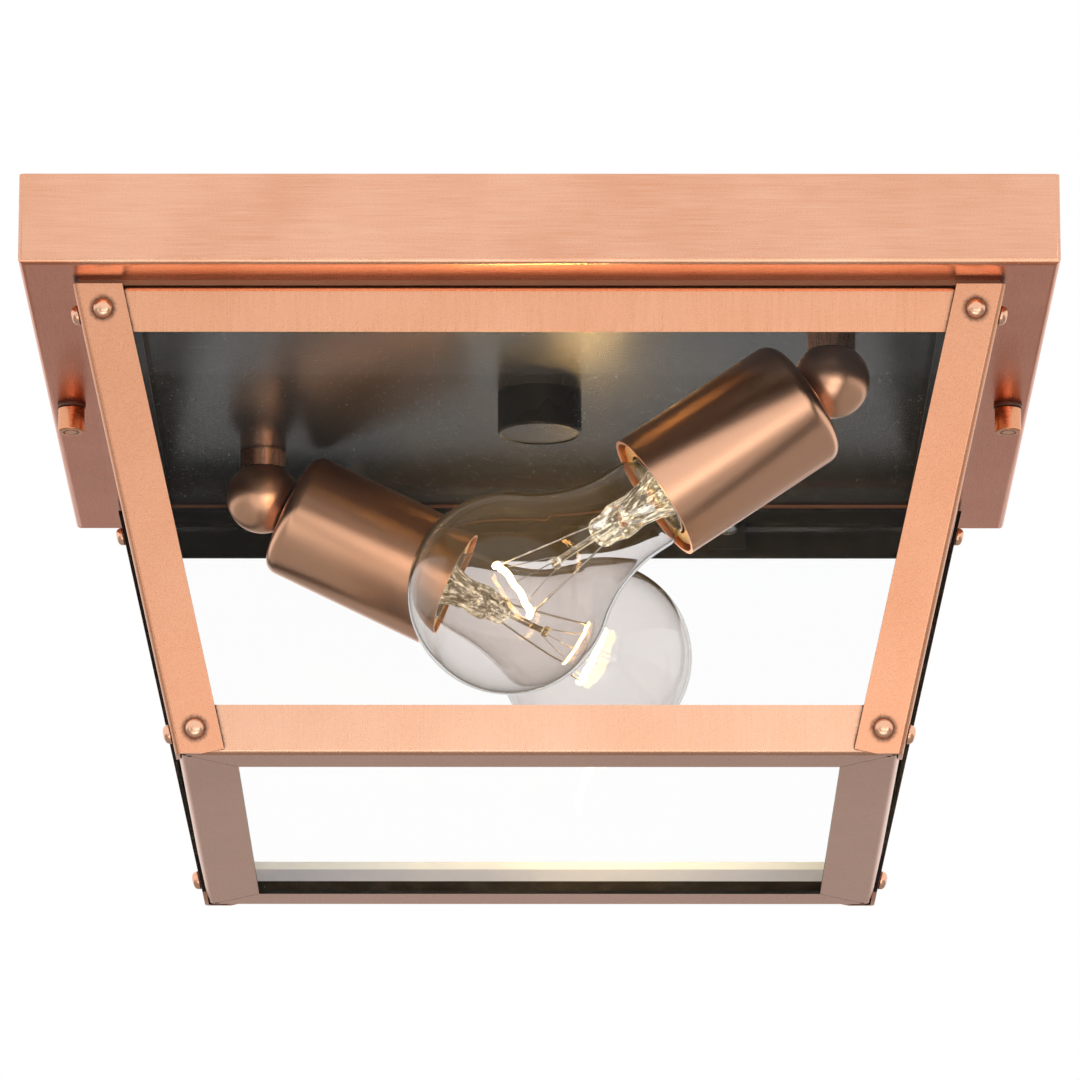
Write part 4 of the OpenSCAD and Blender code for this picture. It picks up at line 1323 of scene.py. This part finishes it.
@dataclass
class Canopy(Builder):
    """Folded pan, socket plate, hanging hardware and knobs."""

    opening: float = 0.119
    stud_x: float = 0.143
    ledge_z: float = -0.027
    stud_foot: float = -0.0334
    nipple_foot: float = -0.0335
    top_gap: float = 0.0003
    screw_x: float = 0.06
    screw_y: float = 0.12505
    screw_foot: float = -0.0327
    screw_top: float = -0.0218

    def build(self) -> None:
        """Dress the canopy's nodes and make its threaded hardware."""
        # The pan's side ledges get painted shade on their downward faces.
        pan = Copper(self.effects, bright=(0.9, 0.51, 0.35), mid=(0.76, 0.365, 0.22),
                     underside_shade=(0.9, 0.55, 0.41), reach=0.001, patina_and_shade=0.1)
        self.finish(pan.mitred("copper, pan", self.opening), "canopy", edge=0.0003)
        plate = Lacquer(self.effects, (0.027, 0.027, 0.028), rough=0.22, dust=0.4)
        self.finish(plate.material("dark plate"), "socket_plate", edge=0.0004)
        cap = Lacquer(self.effects, (0.01, 0.0095, 0.0095), rough=0.26, dust=0.1, specular=0.2)
        self.finish(cap.material("black cap"), "centre_cap", edge=0.0003)
        seal = Lacquer(self.effects, (0.3, 0.12, 0.06), rough=0.5, dust=0.0)
        self.finish(seal.material("brown seal"), "cage_gasket")
        oxide = Lacquer(self.effects, (0.016, 0.016, 0.017), rough=0.4, dust=0.1, specular=0.2)
        self.finish(oxide.material("black oxide"), "glass_clips")
        zinc = Metal(self.effects, Look.ZINC).material("zinc plate")
        self.finish(zinc, "crossbar", "centre_nuts", edge=0.00012)
        self.finish(zinc, "stud_nuts", "cage_nuts")
        green = Metal(self.effects, Look.GREEN).material("green lacquer")
        self.finish(green, "ground_screw", edge=0.0002)
        self._knobs()
        self._threads(zinc)
        self._screws(zinc)

    def _knobs(self) -> None:
        """Dress the two knobs and their washers."""
        copper = Copper(self.effects, bright=(0.84, 0.4, 0.22), mid=(0.76, 0.33, 0.17), reach=0.0012,
                        bump=0.006)
        washer = Lacquer(self.effects, (0.12, 0.045, 0.026), rough=0.45, dust=0.1)
        for side, sign in SIDES.items():
            knob = copper.lathe(f"copper, knob {side}", Vector((sign * self.stud_x, 0.0, self.ledge_z)), UP)
            self.finish(knob, f"knob_{side}", edge=0.00012)
            self.finish(washer.material(f"brown washer {side}"), f"knob_washer_{side}", edge=0.00015)

    def _threads(self, zinc: Material) -> None:
        """Make the two studs and the middle nipple with their threads.

        Args:
            zinc: Their material.
        """
        studs = [(Vector((sign * self.stud_x, 0.0, self.stud_foot)), UP) for sign in SIDES.values()]
        sizes = {"Length": -self.top_gap - self.stud_foot, "Rows": 190}
        rods = self.shop.make(self.shop.thread, zinc, sizes, studs)
        self.fit("studs", rods, zinc, self.root, self.steel, "crossbar_studs")
        tube = self.shop.make(self.shop.thread, zinc, {
            "Crest": 0.005, "Depth": 0.0006, "Pitch": 0.001, "Length": -self.top_gap - self.nipple_foot,
            "Bore": 0.0036, "Runout": 0.001, "Rows": 170, "Steps": 40}, [(UP * self.nipple_foot, UP)])
        self.fit("middle_nipple", tube, zinc, self.root, self.steel, "centre_nipple")

    def _screws(self, zinc: Material) -> None:
        """Make the eight screws that hold the cage.

        Args:
            zinc: Their material.
        """
        places = [Vector((sign * self.screw_x, -self.screw_y, self.screw_foot)) for sign in SIDES.values()]
        spots = [(quarter_turn(quarter) @ place, UP) for quarter in range(len(FACES)) for place in places]
        sizes = {"Length": self.screw_top - self.screw_foot, "Rows": 64}
        screws = self.shop.make(self.shop.screw, zinc, sizes, spots)
        self.fit("machine_screws", screws, zinc, self.root, self.steel, "cage_screws")


@dataclass
class Cage(Builder):
    """Corner posts, rails, rivets and panes."""

    half_top: float = 0.135
    taper: float = 0.03
    top_z: float = -0.0285
    height: float = 0.1325
    flange: float = 0.014
    rail_height: float = 0.014
    rivet_inset: float = 0.0072
    from_corner: float = 0.007
    reflection_strip_width: float = 0.0068
    edge_band: float = 0.0019
    edge: float = 0.00015

    @property
    def slope(self) -> float:
        """Length of a face down its slope."""
        return math.hypot(self.taper, self.height)

    @property
    def lean(self) -> float:
        """Angle by which a face's side edges lean inwards."""
        return math.atan2(self.taper, self.slope)

    def face(self, quarter: int) -> Matrix:
        """Place of a face: y = 0 on it and inwards behind it, z = 0 at its top and downwards negative."""
        return (quarter_turn(quarter) @ Matrix.Translation((0.0, -self.half_top, self.top_z))
                @ Matrix.Rotation(math.atan2(self.taper, self.height), 4, "X"))

    def way(self, quarter: int, direction: Vector) -> Vector:
        """Turn a direction of a face's own frame."""
        return self.face(quarter).to_3x3() @ direction

    def spots(self, quarter: int) -> list[Vector]:
        """Find the four rivets of a face, on its surface.

        Args:
            quarter: Number of the face.

        Returns:
            Their places.
        """
        places = []
        for sign in SIDES.values():
            for down in (self.rivet_inset, self.slope - self.rivet_inset):
                edge = self.half_top - down * self.taper / self.slope
                beside = edge - self.from_corner / math.cos(self.lean)
                places.append(self.face(quarter) @ Vector((sign * beside, 0.0, -down)))
        return places

    def build(self) -> None:
        """Dress the cage and make its rivets."""
        glass = PaneGlass(self.effects).material("clear panes")
        for quarter, name in enumerate(FACES):
            self._rails(quarter, name)
            self._post(quarter)
            dress(self.nodes[f"glass_{name}"], glass)
            self.nodes[f"glass_{name}"].visible_shadow = False
        # Painted highlight: the rivets' copper is paler than the sheet's, standing in for the highlight
        # their domes catch.
        copper = Copper(self.effects, bright=(0.95, 0.57, 0.39), mid=(0.9, 0.49, 0.32), rough=0.24,
                        patina_and_shade=0.5, reach=0.001).straight("copper, rivets", Vector((0.6, 0.8, 0.0)))
        spots = [(spot, self.way(quarter, FRONT)) for quarter in range(len(FACES))
                 for spot in self.spots(quarter)]
        rivets = self.shop.make(self.shop.rivet, copper, {}, spots)
        self.fit("button_rivets", rivets, copper, self.root, "copper", "rivets")

    def _rails(self, quarter: int, name: str) -> None:
        """Dress the two rails of a face.

        Args:
            quarter: Number of the face.
            name: Name of the face.
        """
        # Bands of patina and painted shade along the rail ends beside the posts.
        sides = []
        beside = self.half_top - self.flange / math.cos(self.lean)
        for sign in SIDES.values():
            edge = self.face(quarter) @ Vector((sign * beside, 0.0, 0.0))
            away = self.way(quarter, Vector((-sign * math.cos(self.lean), 0.0, -math.sin(self.lean))))
            sides.append((edge, away, self.edge_band))
        grain, outward = self.way(quarter, UP), self.way(quarter, FRONT)
        top = Marks(bands=tuple(sides), outside=(outward,))
        copper = Copper(self.effects).straight(f"copper, top rail {name}", grain, top)
        self.finish(copper, f"top_rail_{name}", edge=self.edge)
        # The bottom rail's lining carries a strip of painted reflection.
        above = self.face(quarter) @ (DOWN * (self.slope - self.rail_height))
        low = Marks(bands=tuple(sides), outside=(outward, DOWN),
                    reflection_strip=(above, self.way(quarter, DOWN), self.reflection_strip_width))
        # Painted light: the bottom rails' copper is paler than the top rails', standing in for the brighter
        # light on them; their downward faces get painted shade.
        paler = Copper(self.effects, bright=(0.84, 0.49, 0.335), mid=(0.75, 0.41, 0.265),
                       underside_shade=(0.93, 0.84, 0.81), underside_shade_from=-1.0)
        copper = paler.straight(f"copper, bottom rail {name}", grain, low)
        self.finish(copper, f"bottom_rail_{name}", edge=self.edge)

    def _post(self, quarter: int) -> None:
        """Dress the post at the right-hand corner of a face.

        Args:
            quarter: Number of the face.
        """
        name = ("front_right", "back_right", "back_left", "front_left")[quarter]
        faces = (quarter, (quarter + 1) % len(FACES))
        middle = self.face(quarter) @ Vector((self.half_top, 0.0, -self.slope / 2))
        # Rings of patina and painted contact shade round the post's rivets.
        near = [spot for face in faces for spot in self.spots(face)
                if (spot - middle).to_2d().length < self.half_top]
        marks = Marks(halos=tuple(near), outside=(*(self.way(face, FRONT) for face in faces), DOWN))
        copper = Copper(self.effects, bright=(0.82, 0.41, 0.25), mid=(0.74, 0.335, 0.19))
        grain = self.way(faces[0], RIGHT) + self.way(faces[1], RIGHT)
        self.finish(copper.straight(f"copper, post {name}", grain, marks), f"corner_post_{name}",
                    edge=self.edge)


@dataclass
class Bulb(Builder):
    """One clear globe bulb; its own frame has z = 0 at its contact tip."""

    side: str = "left"
    place: Matrix = Matrix.Identity(4)
    globe_r: float = 0.03
    length: float = 0.11
    neck_r: float = 0.0143
    neck_bend: Profile = ((0.0, -0.0005), (0.0003, 0.0006), (-0.0004, 0.003), (0.0, 0.0042))
    shoulder_r: float = 0.04
    shoulder_steps: int = 22
    globe_steps: int = 48
    tuck_r: float = 0.0119
    tuck_z: float = 0.021
    cap_z: float = 0.027
    cap_foot: float = 0.0045
    wall: float = 0.0008
    lip: Profile = ((0.0, 0.0), (-0.0007, 0.0012))
    lip_inside: Profile = ((-0.0015, 0.0012), (-0.0009, 0.0))
    stem: Profile = ((0.0078, 0.0045), (0.0061, 0.009), (0.0052, 0.014), (0.0048, 0.018), (0.0043, 0.0205),
                     (0.0036, 0.0225), (0.0033, 0.0245), (0.0034, 0.0265), (0.0029, 0.028), (0.0018, 0.029),
                     (0.0, 0.0294))
    stem_hollow: Profile = ((0.0, 0.0185), (0.0018, 0.018), (0.003, 0.0162), (0.0038, 0.013),
                            (0.0048, 0.009), (0.0068, 0.0045))
    arbor: Profile = ((0.0, 0.0288), (0.0012, 0.0289), (0.0011, 0.031), (0.00105, 0.04), (0.0012, 0.0412),
                      (0.0019, 0.0419), (0.0021, 0.0427), (0.0017, 0.0435), (0.0, 0.0439))
    pinch: float = 0.4
    pinch_from: float = 0.015
    pinch_over: float = 0.006
    pinch_middle: float = 0.025
    press: float = 0.027
    button: float = 0.0428
    lead_top: float = 0.058
    arc_r: float = 0.009
    spans: int = 4
    lead_r: float = 0.00034
    lead_foot: float = 0.0026
    lead_knee: float = 0.0036
    lead_sink: float = 0.01
    lead_rise: float = 0.002
    support_r: float = 0.00017
    support_foot: float = 0.0009
    support_knee: float = 0.0024
    support_sink: float = 0.0006
    hook: Profile = ((0.0006, 0.0006), (0.0, 0.0011), (-0.0007, 0.0007))
    ring_height: float = 0.0012
    skirt_height: float = 0.0032
    thread_crest: float = 0.0131
    thread_depth: float = 0.0009
    thread_pitch: float = 0.00363
    thread_wall: float = 0.0005

    def add(self, name: str, shape: Shape | Mesh, material: Material, slot: str, stands_for: str = "",
            up: float = 0.0) -> Thing:
        """Add a piece to the bulb.

        Args:
            name: Name of the piece, without its side.
            shape: Its mesh, or points and faces.
            material: Its material.
            slot: The record's material slot that its finish comes from.
            stands_for: The CAD node that it replaces, without its side.
            up: Height of the shape's own frame.

        Returns:
            The piece.
        """
        node = stands_for and f"{stands_for}_{self.side}"
        return self.fit(f"{name}_{self.side}", shape, material, f"bulb_{self.side}", slot, node,
                        self.place @ Matrix.Translation(UP * up))

    def build(self) -> None:
        """Make the glass, the stem, the wires, the filament and the cap."""
        black = Lacquer(self.effects, (0.01, 0.01, 0.012), rough=0.1, dust=0.0)
        self.finish(black.material(f"black glass {self.side}"), f"bulb_insulator_{self.side}")
        self._globe()
        self._stem()
        self._wires()
        self._cap()

    def _outline(self, inset: float) -> list[tuple[float, float]]:
        """Draw one side of the bulb's glass.

        Args:
            inset: Distance by which it is taken in.

        Returns:
            Radius and height of its points, upwards.
        """
        spread = self.neck_r + self.shoulder_r
        centre = self.length - self.globe_r
        back = math.sqrt((self.globe_r + self.shoulder_r) ** 2 - spread ** 2)
        lean = math.atan2(back, spread)
        tuck, neck = self.tuck_r - inset, self.neck_r - inset
        points = [(tuck, self.tuck_z), *((radius + aside, self.cap_z + up) for radius, (aside, up)
                                         in zip((tuck, tuck, neck, neck), self.neck_bend))]
        shoulder, globe = self.shoulder_r + inset, self.globe_r - inset
        for i in range(self.shoulder_steps):
            a = math.pi - lean * i / self.shoulder_steps
            points.append((spread + shoulder * math.cos(a), centre - back + shoulder * math.sin(a)))
        for i in range(self.globe_steps):
            a = -lean + (math.pi / 2 + lean) * i / self.globe_steps
            points.append((globe * math.cos(a), centre + globe * math.sin(a)))
        return [*points, (0.0, centre + globe)]

    def _globe(self) -> None:
        """Make the bulb's thin glass."""
        shape = revolved(self._outline(0.0) + self._outline(self.wall)[::-1], 96)
        glass = BulbGlass(self.place @ (UP * (self.tuck_z + self.lead_top)))
        self.add("globe", shape, glass.material(f"bulb glass {self.side}"), "bulb_glass",
                 "bulb_glass").visible_shadow = False

    def _stem(self) -> None:
        """Make the flared and pinched glass stem with its exhaust tube inside."""
        rod, inner = self.tuck_z, self.tuck_r - self.wall
        lip, lip_inside = ([(inner + aside, up) for aside, up in part]
                           for part in (self.lip, self.lip_inside))
        section = [(r, z + rod) for r, z in (*lip, *self.stem, *self.stem_hollow, *lip_inside)]
        flare = revolved(section, 48, self.pinch, rod + self.pinch_from, self.pinch_over)
        arbor = revolved([(r, z + rod) for r, z in self.arbor], 24)
        glass = StemGlass(self.place.to_3x3() @ UP, self.place @ (UP * (rod + self.pinch_middle)))
        self.add("stem", merged([flare, arbor]), glass.material(f"stem glass {self.side}"), "stem_glass",
                 "bulb_stem").visible_shadow = False

    def _wires(self) -> None:
        """Make the lead wires, the supports with their hooks, and the coiled filament."""
        top, press, button = (self.tuck_z + z for z in (self.lead_top, self.press, self.button))
        parts = []
        for i in range(self.spans + 1):
            angle = math.pi * i / self.spans
            out = Vector((math.cos(angle), math.sin(angle), 0.0))
            end = out * self.arc_r + UP * top
            path = []
            if i in (0, self.spans):
                radius, hook = self.lead_r, []
                foot = out * self.lead_foot + UP * (press - self.lead_sink)
                knee = out * self.lead_knee + UP * (press + self.lead_rise)
            else:
                radius, hook = self.support_r, [end + UP * up + out * aside for aside, up in self.hook]
                foot = out * self.support_foot + UP * (button - self.support_sink)
                knee = out * self.support_knee + UP * button
            for start, stop, steps in ((foot, knee, 4), (knee, end, 10)):
                path.extend(start.lerp(stop, t / steps) for t in range(steps))
            parts.append(bent_wire([*path, end, *hook], radius))
        nickel = Metal(self.effects, Look.NICKEL).material(f"nickel wire {self.side}")
        self.add("wires", merged(parts), nickel, "filament_wire")
        hot = Glow().material(f"hot filament {self.side}")
        coil = self.shop.make(self.shop.coil, hot, {"Arc Radius": self.arc_r, "Coil Radius": 0.0008,
                                                    "Wire Radius": 0.00024, "Turns": 38.0})
        self.add("hot_filament", coil, hot, "filament_wire", "filament", top)

    def _cap(self) -> None:
        """Make the screw cap: rolled thread, upper skirt, foot ring and contact tip."""
        foot, top, crest = self.cap_foot, self.cap_z, self.thread_crest
        start, end = foot + self.ring_height, top - self.skirt_height
        nickel = Metal(self.effects, Look.NICKEL).material(f"nickel cap {self.side}")
        thread = self.shop.make(self.shop.thread, nickel, {
            "Crest": crest, "Depth": self.thread_depth, "Pitch": self.thread_pitch, "Length": end - start,
            "Wall": self.thread_wall, "Runout": 0.0025, "Roundness": 1.0, "Rows": 72, "Inner Rows": 72,
            "Steps": 64}, [(UP * start, UP)])
        root = crest - self.thread_depth
        ring = [(0.0106, foot - 0.0002), (0.0114, foot - 0.0002), (0.0119, foot + 0.0006),
                (root, start + 0.0003), (root - 0.0005, start + 0.0003), (0.0108, foot + 0.0006)]
        skirt = [(root - 0.0005, end - 0.0003), (root, end - 0.0003), (0.0127, end), (0.0128, top - 0.0004),
                 (0.0126, top), (0.0121, top), (0.0119, top - 0.001)]
        tip = [(0.0, 0.0), (0.0026, 0.0002), (0.0034, 0.0007), (0.0035, 0.0012), (0.0, 0.0012)]
        shape = merged([lump(thread), revolved(ring, 64), revolved(skirt, 64), revolved(tip, 32)])
        self.add("screw_cap", shape, nickel, "bulb_cap", "bulb_base")


@dataclass
class Arms(Builder):
    """Collars, nipples, balls and cups that hold the two bulbs, and the bulbs themselves."""

    arm_x: float = 0.0868
    arm_y: float = 0.0671
    ball_z: float = -0.038531
    nipple_foot: float = -0.03653
    nipple_top: float = -0.0129
    turn: float = 1.5
    tilts: tuple[float, float] = (26.0, 34.5)
    tip: float = 0.0361

    def build(self) -> None:
        """Dress the fixed pieces, both arms and both bulbs."""
        zinc = Metal(self.effects, Look.ZINC).material("zinc, arms")
        self.finish(zinc, "arm_nuts", edge=0.00012)
        self.finish(zinc, "swivel_nuts")
        collars = Copper(self.effects, reach=0.002, patina_and_shade=0.9)
        self.finish(collars.straight("copper, collars", UP), "arm_collars")
        spots = [(Vector((sign * self.arm_x, -sign * self.arm_y, self.nipple_foot)), UP)
                 for sign in SIDES.values()]
        tubes = self.shop.make(self.shop.thread, zinc, {
            "Crest": 0.004, "Depth": 0.0005, "Pitch": 0.001, "Length": self.nipple_top - self.nipple_foot,
            "Bore": 0.0026, "Runout": 0.001, "Rows": 120, "Steps": 36}, spots)
        self.fit("threaded_nipples", tubes, zinc, self.root, self.steel, "arm_nipples")
        for (side, sign), tilt in zip(SIDES.items(), self.tilts):
            self._arm(side, sign, tilt)

    def _arm(self, side: str, sign: float, tilt: float) -> None:
        """Dress one arm and build its bulb.

        Args:
            side: Name of the side.
            sign: Its sign along X.
            tilt: Angle of the arm below the plate, in degrees.
        """
        ball = Vector((sign * self.arm_x, -sign * self.arm_y, self.ball_z))
        turn = self.turn + (180.0 if side == "right" else 0.0)
        place = (Matrix.Translation(ball) @ Matrix.Rotation(math.radians(turn), 4, "Z")
                 @ Matrix.Rotation(math.radians(90.0 + tilt), 4, "Y"))
        warm = Copper(self.effects, bright=(0.87, 0.48, 0.305), mid=(0.855, 0.465, 0.292), reach=0.0025,
                      spread=0.005, bump=0.003)
        cup = warm.lathe(f"copper, cup {side}", ball, place.to_3x3() @ UP)
        self.finish(cup, f"socket_cup_{side}")
        duller = replace(warm, rough=0.34, patina_and_shade=0.8)
        self.finish(duller.straight(f"copper, ball {side}", UP), f"swivel_ball_{side}")
        porcelain = Lacquer(self.effects, (0.74, 0.62, 0.42), rough=0.25, dust=0.2)
        self.finish(porcelain.material(f"porcelain {side}"), f"lampholder_{side}")
        self.finish(Metal(self.effects, Look.BRASS).material(f"brass {side}"), f"screw_shell_{side}",
                    f"centre_contact_{side}")
        self.finish(Metal(self.effects, Look.ZINC).material(f"zinc, arm {side}"), f"cup_nipple_{side}")
        tip = place @ Matrix.Translation(UP * self.tip)
        Bulb(self.nodes, self.effects, self.shop, side=side, place=tip).build()


def main() -> None:
    """Build the light and its studio in order."""
    logging.basicConfig(level=logging.INFO, format="%(name)s: %(message)s")
    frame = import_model()
    Studio().build()
    nodes, effects, shop = frame["nodes"], Effects(), Workshop()
    for assembly in (Canopy, Cage, Arms):
        assembly(nodes, effects, shop).build()


if __name__ == "__main__":
    main()
